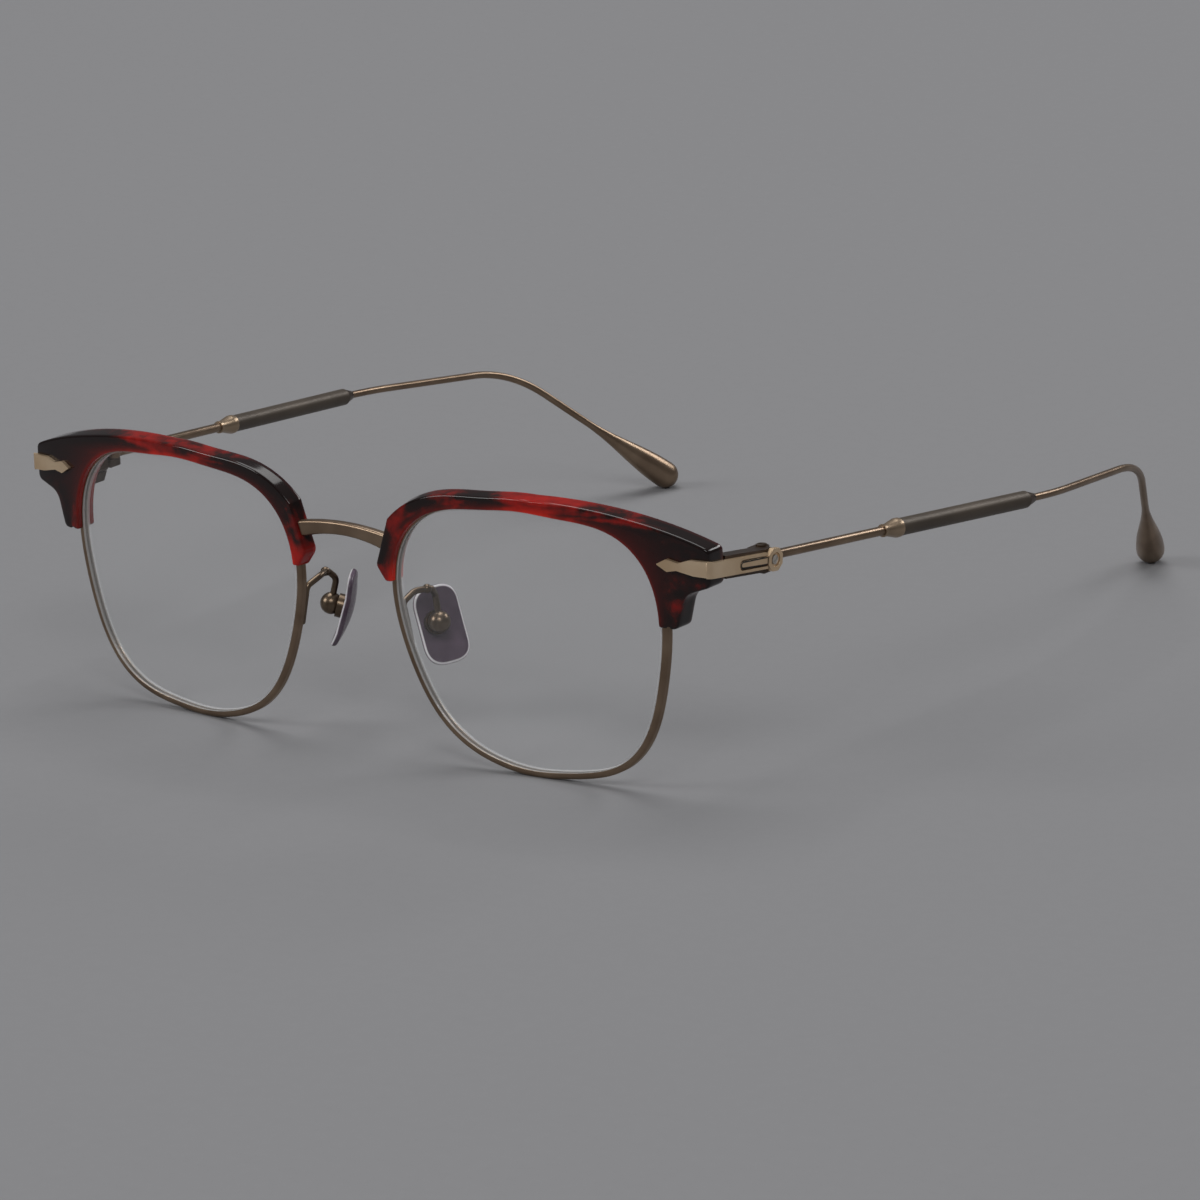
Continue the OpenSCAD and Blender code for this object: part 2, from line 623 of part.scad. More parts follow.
module brow_left() { brow(-1); }
module brow_right() { brow(1); }
module eyewire_left() { eyewire(-1); }
module eyewire_right() { eyewire(1); }
module lens_left() { lens(-1); }
module lens_right() { lens(1); }
module endpiece_left() { endpiece(-1); }
module endpiece_right() { endpiece(1); }
module cover_plate_left() { cover_plate(-1); }
module cover_plate_right() { cover_plate(1); }
module cover_screw_left() { cover_screw(-1); }
module cover_screw_right() { cover_screw(1); }
module hinge_block_left() { hinge_block(-1); }
module hinge_block_right() { hinge_block(1); }
module hinge_screw_left() { hinge_screw(-1); }
module hinge_screw_right() { hinge_screw(1); }
module rim_lock_left() { rim_lock(-1); }
module rim_lock_right() { rim_lock(1); }
module lock_screw_left() { lock_screw(-1); }
module lock_screw_right() { lock_screw(1); }
module temple_rod_left() { temple_rod(-1); }
module temple_rod_right() { temple_rod(1); }
module collar_left() { collar(-1); }
module collar_right() { collar(1); }
module sleeve_left() { sleeve(-1); }
module sleeve_right() { sleeve(1); }
module ferrule_left() { ferrule(-1); }
module ferrule_right() { ferrule(1); }
module temple_tail_left() { temple_tail(-1); }
module temple_tail_right() { temple_tail(1); }
module pad_arm_left() { pad_arm(-1); }
module pad_arm_right() { pad_arm(1); }
module pad_socket_left() { pad_socket(-1); }
module pad_socket_right() { pad_socket(1); }
module nose_pad_left() { nose_pad(-1); }
module nose_pad_right() { nose_pad(1); }

brow_left();
brow_right();
eyewire_left();
eyewire_right();
lens_left();
lens_right();
bridge();
endpiece_left();
endpiece_right();
cover_plate_left();
cover_plate_right();
cover_screw_left();
cover_screw_right();
hinge_block_left();
hinge_block_right();
hinge_screw_left();
hinge_screw_right();
rim_lock_left();
rim_lock_right();
lock_screw_left();
lock_screw_right();
temple_rod_left();
temple_rod_right();
collar_left();
collar_right();
sleeve_left();
sleeve_right();
ferrule_left();
ferrule_right();
temple_tail_left();
temple_tail_right();
pad_arm_left();
pad_arm_right();
pad_socket_left();
pad_socket_right();
nose_pad_left();
nose_pad_right();
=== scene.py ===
"""Browline glasses: tortoiseshell brows over full metal eye-wires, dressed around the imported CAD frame.

All sizes below are in millimetres in the maker's own frame, in which the feet of the eye-wires stand
at y = 0; MIDDLE_Y moves them into the shared frame. Every piece of a pair is worked out for the right
side (+X) and mirrored for the left.
"""
from __future__ import annotations

import logging
import math
from dataclasses import dataclass, field
from enum import Enum

import bmesh
import bpy
import numpy as np
from mathutils import Matrix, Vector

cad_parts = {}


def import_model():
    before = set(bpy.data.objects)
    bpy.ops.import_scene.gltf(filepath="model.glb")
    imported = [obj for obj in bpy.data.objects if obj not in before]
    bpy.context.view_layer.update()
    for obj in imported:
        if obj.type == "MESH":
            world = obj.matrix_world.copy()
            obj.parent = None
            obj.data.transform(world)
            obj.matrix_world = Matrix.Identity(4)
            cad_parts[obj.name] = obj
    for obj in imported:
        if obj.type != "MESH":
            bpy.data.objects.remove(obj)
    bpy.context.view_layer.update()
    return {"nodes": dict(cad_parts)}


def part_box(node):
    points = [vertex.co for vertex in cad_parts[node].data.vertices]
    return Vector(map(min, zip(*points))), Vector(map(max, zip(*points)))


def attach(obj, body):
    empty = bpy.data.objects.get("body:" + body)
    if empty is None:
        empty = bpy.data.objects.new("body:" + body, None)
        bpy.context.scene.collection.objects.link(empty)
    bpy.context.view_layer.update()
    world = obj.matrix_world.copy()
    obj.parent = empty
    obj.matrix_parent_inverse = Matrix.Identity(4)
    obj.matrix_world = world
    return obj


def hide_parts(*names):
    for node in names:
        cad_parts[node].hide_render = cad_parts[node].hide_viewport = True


MM = 0.001
MIDDLE_Y = 77.8974
HARD_EDGE_DEG = 35
log = logging.getLogger("glasses")


class Side(Enum):
    """The two sides as seen from the front, and the words that end the names of their pieces."""

    RIGHT = "right"
    LEFT = "left"


class Slot(Enum):
    """The material slots that the record names, and three finishes that share a piece with one of them."""

    ACETATE = "acetate"
    BRONZE = "bronze"
    BRIGHT = "bronze_bright"
    DARK = "dark_bronze"
    CHAMPAGNE = "champagne"
    STEEL = "steel"
    SLEEVE = "sleeve"
    LENS = "lens"
    PAD = "pad"
    # painted shade for the recesses round the tongue and the screw
    PAINTED_SHADE = "recess"
    EDGE = "lens_edge"
    COLLAR = "collar"


# ---- colour and shader nodes ----


def hex_linear(code: str) -> tuple[float, float, float, float]:
    """Turns an sRGB hex colour into Blender's linear one.

    Args:
        code: The colour as "#rrggbb".

    Returns:
        Linear red, green and blue, and an alpha of 1.
    """
    srgb = np.array([int(code[i : i + 2], 16) for i in (1, 3, 5)]) / 255
    linear = np.where(srgb <= 0.04045, srgb / 12.92, ((srgb + 0.055) / 1.055) ** 2.4)
    return (*linear.tolist(), 1.0)


class Canvas:
    """The node tree of a material or world in the making, with its texture coordinates."""

    def __init__(self, owner: bpy.types.Material | bpy.types.World) -> None:
        """Clears the owner's tree and puts the coordinates in.

        Args:
            owner: The material or world.
        """
        owner.use_nodes = True
        self.owner, self.tree = owner, owner.node_tree
        self.tree.nodes.clear()
        self.coords = self.add("TexCoord").outputs

    def add(self, kind: str, values: dict | None = None, links: dict | None = None, stops: tuple = (),
            **settings: object) -> bpy.types.Node:
        """Adds a node with its settings, socket values and incoming links.

        Args:
            kind: The node's type name after ShaderNode.
            values: Socket name or number to constant value.
            links: Socket name or number to the socket that feeds it, or to a node whose first output does.
            stops: Position and hex colour of each stop of a colour ramp.
            **settings: Attributes of the node itself.

        Returns:
            The new node.
        """
        node = self.tree.nodes.new("ShaderNode" + kind)
        for key, value in settings.items():
            setattr(node, key, value)
        for key, value in (values or {}).items():
            node.inputs[key].default_value = value
        for key, source in (links or {}).items():
            feed = source.outputs[0] if isinstance(source, bpy.types.Node) else source
            self.tree.links.new(feed, node.inputs[key])
        if stops:
            elements = node.color_ramp.elements
            for element, (place, code) in zip(elements, stops):
                element.position, element.color = place, hex_linear(code)
            for place, code in stops[2:]:
                elements.new(place).color = hex_linear(code)
        return node

    def shaded(self, values: dict, links: dict) -> bpy.types.Material:
        """Ends a material with its Principled shader.

        Args:
            values: The shader's constants.
            links: What feeds its other sockets.

        Returns:
            The finished material.
        """
        shader = self.add("BsdfPrincipled", values, links)
        self.add("OutputMaterial", links={"Surface": shader})
        return self.owner


def canvas(name: str) -> Canvas:
    """Starts a material of this name."""
    return Canvas(bpy.data.materials.new(name))


def per_metre(size_mm: float) -> float:
    """The noise scale, in cells per metre, of a pattern with cells of this size in mm."""
    return 1000 / size_mm


@dataclass(frozen=True)
class TortoiseAcetate:
    """Block-cut, tumbled and polished cellulose acetate: black-brown flakes in clear red, glassy skin, and a
    painted glow at the edges.
    """

    black: str = "#170b0a"
    brown: str = "#2c0f0c"
    red: str = "#74110b"
    fire: str = "#a8160c"
    # painted glow: the bright red mixed into the edges that the piece marks for light
    painted_glow: str = "#ee2a12"
    flake_mm: float = 3.2
    cloud_mm: float = 1.6
    roughness: float = 0.1

    def make(self) -> bpy.types.Material:
        """Mixes the flakes from the piece's own marks and two noises, and paints a glow where the piece's
        edge mark asks for it.

        Returns:
            The material.
        """
        c = canvas("cellulose acetate, tumbled and polished")
        red, lit, along, across = (c.add("Attribute", attribute_name=name).outputs["Fac"]
                                   for name in ("red", "lit", "along", "across"))
        # the sheet's flakes are drawn out along the bar: the run along it counts for less than the way across
        run = c.add("Math", {1: 0.45}, {0: along}, operation="MULTIPLY")
        lay = c.add("CombineXYZ", links={0: run, 1: across})
        flakes = c.add("TexNoise", {"Scale": per_metre(self.flake_mm), "Detail": 3.0, "Distortion": 0.4},
                       {"Vector": lay})
        clouds = c.add("TexNoise", {"Scale": per_metre(self.cloud_mm), "Detail": 3.0},
                       {"Vector": c.coords["Object"]})
        # both noises swing about zero, the clouds by about half as much, and move the share of red
        rough = c.add("Math", {1: 1.0, 2: -0.5}, {0: flakes}, operation="MULTIPLY_ADD")
        fine = c.add("Math", {1: 0.55, 2: -0.275}, {0: clouds}, operation="MULTIPLY_ADD")
        both = c.add("Math", None, {0: rough, 1: fine}, operation="ADD")
        depth = c.add("Math", None, {0: both, 1: red}, operation="ADD")
        body = c.add("ValToRGB", None, {0: depth}, ((0.22, self.black), (0.92, self.fire),
                                                              (0.38, self.brown), (0.58, self.red)))
        # painted glow: the edge mark, weighted by how red the sheet is, decides how much glow colour is mixed
        # in
        share = c.add("Math", {1: 0.45, 2: 0.55}, {0: depth}, operation="MULTIPLY_ADD")
        painted_glow = c.add("Math", None, {0: share, 1: lit}, operation="MULTIPLY", use_clamp=True)
        mixed = c.add("Mix", {"B": hex_linear(self.painted_glow)}, {"Factor": painted_glow, "A": body},
                      data_type="RGBA").outputs[2]
        # painted glow: the same colour is also given off as a weak emission, standing for light that the red
        # sheet carries to its edges
        strength = c.add("Math", {1: 0.1}, {0: painted_glow}, operation="MULTIPLY")
        return c.shaded({"Roughness": self.roughness, "IOR": 1.48, "Specular IOR Level": 0.4},
                        {"Base Color": mixed, "Emission Color": mixed, "Emission Strength": strength})


@dataclass(frozen=True)
class PlatedMetal:
    """Satin plating on nickel silver: fine brushing, slight tone clouds and worn-bright patches."""

    name: str
    base: str
    worn: str
    roughness: float = 0.3
    brushing_mm: float = 0.9
    cloud_mm: float = 6.0
    metallic: float = 0.8
    bump: float = 0.004

    def make(self) -> bpy.types.Material:
        """Mixes base and worn tones by a soft cloud; a finer noise moves roughness and bump.

        Returns:
            The material.
        """
        c = canvas(self.name)
        where = {"Vector": c.coords["Object"]}
        cloud = c.add("TexNoise", {"Scale": per_metre(self.cloud_mm), "Detail": 2.0}, where)
        tone = c.add("ValToRGB", None, {0: cloud}, ((0.3, self.base), (0.75, self.worn)))
        # real satin brushing is finer than 0.1 mm; it is drawn coarser so that it shows
        grain = c.add("TexNoise", {"Scale": per_metre(self.brushing_mm), "Detail": 2.0}, where)
        rough = c.add("MapRange", {"To Min": self.roughness * 0.9, "To Max": self.roughness * 1.12},
                      {"Value": grain})
        relief = c.add("Bump", {"Strength": self.bump, "Distance": 0.03 * MM}, {"Height": grain})
        return c.shaded({"Metallic": self.metallic},
                        {"Base Color": tone, "Roughness": rough, "Normal": relief})


@dataclass(frozen=True)
class CoatedLens:
    """Hard-coated clear resin lens: almost unseen from the front, with pale edges."""

    tint: str = "#eef2f3"
    alpha: float = 0.03

    def make(self) -> bpy.types.Material:
        """A thin clear skin: low constant alpha, glassy polish and faint coating clouds.

        Returns:
            The material.
        """
        c = canvas("allyl resin lens, cast and hard-coated")
        cloud = c.add("TexNoise", {"Scale": per_metre(30), "Detail": 1.0}, {"Vector": c.coords["Object"]})
        tone = c.add("ValToRGB", None, {0: cloud}, ((0.3, self.tint), (0.8, "#f6fafb")))
        return c.shaded({"Roughness": 0.03, "IOR": 1.5, "Alpha": self.alpha}, {"Base Color": tone})


@dataclass(frozen=True)
class ClearEdge:
    """Ground and polished rim of the lens, white with a painted glow that stands for light gathered in the
    lens coming out at the edge.
    """

    tint: str = "#f2f4f4"
    alpha: float = 0.3

    def make(self) -> bpy.types.Material:
        """A bright, half-clear edge with a faint painted glow and the fine ripple that grinding leaves.

        Returns:
            The material.
        """
        c = canvas("allyl resin lens edge, ground and polished")
        ripple = c.add("TexNoise", {"Scale": per_metre(0.8), "Detail": 2.0},
                       {"Vector": c.coords["Object"]})
        relief = c.add("Bump", {"Strength": 0.1, "Distance": 0.03 * MM}, {"Height": ripple})
        tone = c.add("ValToRGB", None, {0: ripple}, ((0.3, self.tint), (0.8, "#ffffff")))
        # painted glow: a weak emission in the edge's tint
        return c.shaded({"Roughness": 0.15, "Alpha": self.alpha, "Emission Color": hex_linear(self.tint),
                         "Emission Strength": 0.05}, {"Base Color": tone, "Normal": relief})


@dataclass(frozen=True)
class PadSilicone:
    """Moulded translucent silicone: smoky purple body and a clear rim with a painted white highlight."""

    body: str = "#6d5b6c"
    deep: str = "#5a4a5a"
    # painted highlight: the white that the pad's rounded edge takes
    rim: str = "#fbf8fc"

    def make(self) -> bpy.types.Material:
        """Mixes the body tone and the painted white highlight of the rim by the pad's own edge mark.

        Returns:
            The material.
        """
        c = canvas("silicone rubber, moulded translucent")
        lit = c.add("Attribute", attribute_name="lit").outputs["Fac"]
        cloud = c.add("TexNoise", {"Scale": per_metre(3), "Detail": 2.0}, {"Vector": c.coords["Object"]})
        body = c.add("ValToRGB", None, {0: cloud}, ((0.3, self.deep), (0.7, self.body)))
        # painted highlight: where the edge mark is high the tone turns to the white rim colour, and a little
        # less clear
        tone = c.add("Mix", {"B": hex_linear(self.rim)}, {"Factor": lit, "A": body}, data_type="RGBA")
        clear = c.add("MapRange", {"To Min": 0.82, "To Max": 0.95}, {"Value": lit})
        return c.shaded({"Roughness": 0.22, "IOR": 1.41, "Subsurface Weight": 0.15,
                         "Subsurface Radius": (0.001, 0.0008, 0.001)},
                        {"Base Color": tone.outputs[2], "Alpha": clear})


def made_finishes() -> dict[Slot, bpy.types.Material]:
    """Makes every finish of the glasses once.

    Returns:
        The material of each slot.
    """
    nickel = "nickel silver, "
    champagne = nickel + "champagne gold plated, "
    finishes = {
        Slot.ACETATE: TortoiseAcetate(),
        # antique bronze over nickel silver: brown with pale worn highlights
        Slot.BRONZE: PlatedMetal(nickel + "antique bronze plated, satin", "#7d6957", "#9a8570", 0.31,
                                 metallic=0.9),
        Slot.BRIGHT: PlatedMetal(nickel + "antique bronze plated, polished", "#5d4e41", "#80705e", 0.31,
                                 metallic=0.95),
        Slot.DARK: PlatedMetal(nickel + "dark bronze plated, satin", "#453931", "#584a40", 0.35),
        # champagne gold plating: pale, warm and softly brushed
        Slot.CHAMPAGNE: PlatedMetal(champagne + "satin", "#d6b995", "#ecd3b2", 0.33, metallic=0.75),
        Slot.STEEL: PlatedMetal("stainless steel screw, turned and polished", "#b4afa7", "#d2cdc5", 0.31),
        # the sleeve's dark coat is matt and hides the metal's gloss
        Slot.SLEEVE: PlatedMetal("steel tube, matt dark bronze coated", "#4d443b", "#5a5045", 0.45, 0.6, 9.0,
                                 0.4, 0.05),
        # painted shade: a near-black finish on the thin line round the tongue and on the sunk ring round the
        # screw, where shade falls in the recesses
        Slot.PAINTED_SHADE: PlatedMetal(champagne + "painted recess shade", "#1d1713", "#2b231d", 0.5, metallic=0.4),
        # the collar is turned bright, and its plating has gone darker than the strap's
        Slot.COLLAR: PlatedMetal(champagne + "turned", "#9a8670", "#b29d85", 0.31),
        Slot.LENS: CoatedLens(),
        Slot.EDGE: ClearEdge(),
        Slot.PAD: PadSilicone(),
    }
    return {slot: finish.make() for slot, finish in finishes.items()}


# ---- meshes ----


@dataclass
class Skin:
    """A mesh in the making: points in mm, rows of face corners, and named values per point."""

    points: np.ndarray
    faces: list[np.ndarray]
    marks: dict[str, np.ndarray] = field(default_factory=dict)

    def flipped(self) -> "Skin":
        """The same skin with every face turned round."""
        return Skin(self.points, [rows[:, ::-1] for rows in self.faces], self.marks)

    def outward(self) -> "Skin":
        """The skin with its faces outwards: the sum of signed corner volumes has to be positive.

        Returns:
            This skin or its flipped copy.
        """
        volume = 0.0
        for rows in self.faces:
            p = self.points[rows]
            for k in range(1, rows.shape[1] - 1):
                volume += float(np.einsum("ij,ij->", p[:, 0], np.cross(p[:, k], p[:, k + 1])))
        return self if volume >= 0 else self.flipped()

    def mirrored(self) -> "Skin":
        """The skin for the other side: x changes its sign and the faces are turned back outwards."""
        return Skin(self.points * [-1, 1, 1], self.faces, self.marks).flipped()


def joined(skins: list[Skin]) -> Skin:
    """Puts several skins into one.

    Args:
        skins: The skins; those with marks all have the same ones.

    Returns:
        One skin with all points and faces.
    """
    faces, start = [], 0
    for skin in skins:
        faces += [rows + start for rows in skin.faces]
        start += len(skin.points)
    names = {name for skin in skins for name in skin.marks}
    marks = {n: np.concatenate([s.marks.get(n, np.zeros(len(s.points))) for s in skins]) for n in names}
    return Skin(np.vstack([skin.points for skin in skins]), faces, marks)


def lofted(rings: np.ndarray, closed: bool = False, marks: dict[str, np.ndarray] | None = None) -> Skin:
    """Skins a stack of closed rings; the ends are closed with one face each unless the stack is a loop.

    Args:
        rings: Points, stack by ring by 3.
        closed: True if the last ring joins the first.
        marks: Values per point, stack by ring.

    Returns:
        The skin with its faces outwards.
    """
    n, k, _ = rings.shape
    index = np.arange(n * k).reshape(n, k)
    nxt = np.roll(index, -1, axis=1)
    a, b, c, d = index[:-1], nxt[:-1], nxt[1:], index[1:]
    if closed:
        a, b, c, d = index, nxt, np.roll(nxt, -1, axis=0), np.roll(index, -1, axis=0)
    faces = [np.stack([a, b, c, d], -1).reshape(-1, 4)]
    if not closed:
        faces += [index[:1, ::-1], index[-1:]]
    flat = {name: value.reshape(-1) for name, value in (marks or {}).items()}
    return Skin(rings.reshape(-1, 3), faces, flat).outward()


def unit(v: np.ndarray) -> np.ndarray:
    """Vectors scaled to length one along the last axis."""
    return v / np.linalg.norm(v, axis=-1, keepdims=True)


def turned(base: np.ndarray, along: np.ndarray, profile: np.ndarray, sides: int = 48) -> Skin:
    """A lathe shape: each profile row is a distance along the axis and a radius.

    Args:
        base: The point at distance 0.
        along: The axis direction.
        profile: Rows of distance and radius.
        sides: Points round the axis.

    Returns:
        The turned skin.
    """
    path = base + along * profile[:, :1]
    return swept(path, profile[:, 1], np.broadcast_to(along, path.shape), sides)


def swept(path: np.ndarray, radius: np.ndarray, headings: np.ndarray | None = None, sides: int = 24) -> Skin:
    """A round bar along a path: ring centres on the path, rings square to its heading.

    Args:
        path: Centre points.
        radius: Radius at each point.
        headings: Directions at each point; worked out from the path if left out.
        sides: Points round the bar.

    Returns:
        The bar's skin.
    """
    heading = unit(np.gradient(path, axis=0)) if headings is None else headings
    across = unit(np.cross(heading, [1.0, 0.0, 0.0]))[:, None]
    up = np.cross(heading[:, None], across)
    turn = np.linspace(0, 2 * np.pi, sides, endpoint=False)[None, :, None]
    return lofted(path[:, None] + radius[:, None, None] * (np.cos(turn) * across + np.sin(turn) * up))


def ball_skin(centre: np.ndarray, radius: float, steps: int = 20) -> Skin:
    """A ball: a lathe profile of half a circle.

    Args:
        centre: The middle.
        radius: The radius.
        steps: Rings from pole to pole.

    Returns:
        The ball's skin.
    """
    turn = np.linspace(0.02, np.pi - 0.02, steps)
    profile = np.stack([-radius * np.cos(turn), radius * np.sin(turn)], -1)
    return turned(centre, np.array([0.0, 0.0, 1.0]), profile, 32)


def rounded(corners: np.ndarray, radii: np.ndarray, steps: int = 8, loop: bool = True) -> np.ndarray:
    """An outline or path with each corner replaced by an arc, or by a smooth parabola in space.

    Args:
        corners: Corner points in the plane or in space.
        radii: Cut-back length before and after each corner; 0 keeps it sharp.
        steps: Points per rounded corner.
        loop: True for a closed outline.

    Returns:
        The rounded points.
    """
    out: list[np.ndarray] = []
    count = len(corners)
    for i, (corner, cut) in enumerate(zip(corners, radii)):
        if cut <= 0 or (not loop and i in (0, count - 1)):
            out.append(corner[None])
            continue
        start = corner + unit(corners[i - 1] - corner) * cut
        end = corner + unit(corners[(i + 1) % count] - corner) * cut
        t = np.linspace(0, 1, steps)[:, None]
        out.append(start * (1 - t) ** 2 + corner * 2 * t * (1 - t) + end * t**2)
    return np.vstack(out)


def resampled(points: np.ndarray, at: np.ndarray) -> np.ndarray:
    """Points of a polyline at the given distances along it."""
    run = np.r_[0, np.cumsum(np.linalg.norm(np.diff(points, axis=0), axis=1))]
    return np.stack([np.interp(at, run, column) for column in points.T], -1)


def spin(axis: int, degrees: float) -> np.ndarray:
    """The matrix of a turn: cosines on the diagonal, plus and minus the sine beside it.

    Args:
        axis: 0, 1 or 2 for x, y or z.
        degrees: The angle.

    Returns:
        The matrix.
    """
    c, s = math.cos(math.radians(degrees)), math.sin(math.radians(degrees))
    i, j = (axis + 1) % 3, (axis + 2) % 3
    turn = np.eye(3)
    turn[i, i], turn[j, j], turn[i, j], turn[j, i] = c, c, -s, s
    return turn


def smooth(mesh: bpy.types.Mesh, sharp_deg: float) -> None:
    """Shades a mesh smooth, apart from the edges that turn more than an angle."""
    mesh.polygons.foreach_set("use_smooth", np.ones(len(mesh.polygons), dtype=bool))
    mesh.set_sharp_from_angle(angle=math.radians(sharp_deg))


@dataclass
class Part:
    """A sub-assembly in the making: its side (none for the middle), the finishes and the CAD nodes."""

    side: Side | None
    finishes: dict[Slot, bpy.types.Material]
    nodes: dict[str, bpy.types.Object]

    def own(self, word: str) -> str:
        """The name of a piece or body of this side; the front belongs to both."""
        return word if self.side is None or word == "front" else f"{word}_{self.side.value}"

    def hand_in(self, piece: bpy.types.Object, word: str, body: str) -> None:
        """Puts a piece in the scene and tells the frame about it.

        Args:
            piece: The piece.
            word: The CAD node it stands for, without its side.
            body: The CAD body it rides on, without its side.
        """
        bpy.context.scene.collection.objects.link(piece)
        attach(piece, self.own(body))
        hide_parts(self.own(word))
        log.info("%s: %d faces, rides on %s", piece.name, len(piece.data.polygons), self.own(body))

    def put(self, word: str, skin: Skin, slot: Slot, sharp_deg: float, body: str = "front",
            second: Slot | None = None, second_faces: np.ndarray | bool = True) -> None:
        """Makes a piece from a skin, mirrored for the left side, and dresses it.

        Args:
            word: The CAD node it stands for, without its side.
            skin: The right side's mesh in mm in the maker's frame.
            slot: The finish it takes.
            sharp_deg: Edges that turn more than this stay sharp.
            body: The CAD body it rides on, without its side.
            second: A second finish.
            second_faces: True for each face that takes the second finish, or for all of them.
        """
        skin = skin.mirrored() if self.side is Side.LEFT else skin
        name = self.own(word) + "_finished"
        mesh = bpy.data.meshes.new(name)
        points = (skin.points - [0, MIDDLE_Y, 0]) * MM
        mesh.from_pydata(points.tolist(), [], [row for rows in skin.faces for row in rows.tolist()])
        for mark, values in skin.marks.items():
            layer = mesh.attributes.new(mark, "FLOAT", "POINT")
            layer.data.foreach_set("value", values.astype(np.float32))
        smooth(mesh, sharp_deg)
        mesh.materials.append(self.finishes[slot])
        if second is not None:
            mesh.materials.append(self.finishes[second])
            chosen = np.broadcast_to(np.asarray(second_faces, dtype=np.int32), len(mesh.polygons))
            mesh.polygons.foreach_set("material_index", np.ascontiguousarray(chosen))
        mesh.update()
        self.hand_in(bpy.data.objects.new(name, mesh), word, body)

    def soften(self, word: str, slot: Slot, width_mm: float, body: str = "front", segments: int = 2,
               line_mm: float = 0.0) -> None:
        """Finishes a machined CAD piece: a merged copy whose hard edges are broken by a fine bevel.

        Args:
            word: The CAD node, without its side.
            slot: The finish it takes.
            width_mm: Width of the broken edge.
            body: The CAD body it rides on, without its side.
            segments: Steps of the bevel.
            line_mm: Width of a line of painted shade inside the border of the long outer face; 0 leaves it
                out.
        """
        node = self.nodes[self.own(word)]
        mesh = node.data.copy()
        mesh.materials.clear()
        mesh.materials.append(self.finishes[slot])
        # the second finish is painted shade, for the line round the long outer face
        mesh.materials.append(self.finishes[Slot.PAINTED_SHADE])
        build = bmesh.new()
        build.from_mesh(mesh)
        bmesh.ops.remove_doubles(build, verts=build.verts, dist=2e-6)
        bmesh.ops.dissolve_limit(build, angle_limit=math.radians(1.0), verts=build.verts, edges=build.edges)
        if line_mm:
            # of the faces that look away from the middle, the foremost is the long one
            middles = {face: face.calc_center_median() for face in build.faces}
            sideways = [face for face, m in middles.items() if face.normal.x * m.x > 0.95 * abs(m.x)]
            front = min(sideways, key=lambda face: middles[face].y)
            # painted shade: the inset ring round the face takes the dark finish
            ring = bmesh.ops.inset_region(build, faces=[front], thickness=line_mm * MM, depth=0.0)["faces"]
            for face in ring:
                face.material_index = 1
        build.to_mesh(mesh)
        build.free()
        smooth(mesh, HARD_EDGE_DEG)
        piece = bpy.data.objects.new(node.name + "_finished", mesh)
        bevel = piece.modifiers.new("broken edges", "BEVEL")
        bevel.width, bevel.segments = width_mm * MM, segments
        bevel.limit_method, bevel.angle_limit = "ANGLE", math.radians(HARD_EDGE_DEG)
        bevel.harden_normals = True
        self.hand_in(piece, word, body)


# ---- the front ----


@dataclass(frozen=True)
class FrontCurve:
    """The eye-wire's outline and the ball-shaped curve that the whole front follows."""

    lens_x: float = 36.25
    lens_z: float = 23.6
    rim_x: float = 26.6
    rim_z: float = 23.6
    bow_radius: float = 410.0
    bow_height: float = 43.0
    waves: tuple = ((0.0118, 0.0399), (0.163, -0.0116), (-0.0035, 0.0488), (-0.0232, -0.0067),
                    (-0.0055, 0.0149), (-0.0162, 0.0))

    def reach(self, a: np.ndarray) -> np.ndarray:
        """Radius share at angle a in radians: one, plus six cosine and sine waves."""
        return 1 + sum(w[0] * np.cos(k * a) + w[1] * np.sin(k * a) for k, w in enumerate(self.waves, 1))

    def edge(self, degrees: np.ndarray) -> np.ndarray:
        """Outer edge of the eye-wire: the waved circle, stretched to the rim's half width and height.

        Args:
            degrees: Angles round the lens.

        Returns:
            Points in the XZ plane.
        """
        ring = np.radians(np.arange(96) * 3.75)
        rx, rz = self.reach(ring) * np.cos(ring), self.reach(ring) * np.sin(ring)
        a = np.radians(degrees)
        x = self.reach(a) * np.cos(a) - (rx.max() + rx.min()) / 2
        z = self.reach(a) * np.sin(a) - (rz.max() + rz.min()) / 2
        return np.stack([self.lens_x + self.rim_x * x / np.ptp(rx) * 2,
                         self.lens_z + self.rim_z * z / np.ptp(rz) * 2], -1)

    def point(self, degrees: np.ndarray, inset: np.ndarray | float) -> np.ndarray:
        """The edge moved inwards along its normal.

        Args:
            degrees: Angles round the lens.
            inset: Distance inwards at each angle.

        Returns:
            Points in the XZ plane.
        """
        t = unit(self.edge(degrees + 0.5) - self.edge(degrees - 0.5))
        shift = np.broadcast_to(np.asarray(inset, dtype=float), np.shape(degrees))
        return self.edge(degrees) + shift[..., None] * np.stack([-t[..., 1], t[..., 0]], -1)

    @property
    def bow_front(self) -> float:
        """Height of the ball's foremost point in front of the eye-wires' feet, as a y value."""
        return -(self.lens_x**2 + self.bow_height**2) / 2 / self.bow_radius

    def bow(self, plane: np.ndarray, depth: np.ndarray | float = 0.0) -> np.ndarray:
        """y of the surface at a depth behind the front of the eye-wires: a ball of smaller radius.

        Args:
            plane: Points in the XZ plane.
            depth: Distance behind the eye-wires' front.

        Returns:
            The y values.
        """
        flat = plane[..., 0] ** 2 + (plane[..., 1] - self.bow_height) ** 2
        return self.bow_front + self.bow_radius - np.sqrt((self.bow_radius - depth) ** 2 - flat)

    def lift(self, plane: np.ndarray, depth: np.ndarray | float = 0.0) -> np.ndarray:
        """Points in the plane put on the surface at a depth, in space."""
        return np.stack([plane[..., 0], self.bow(plane, depth), plane[..., 1]], -1)


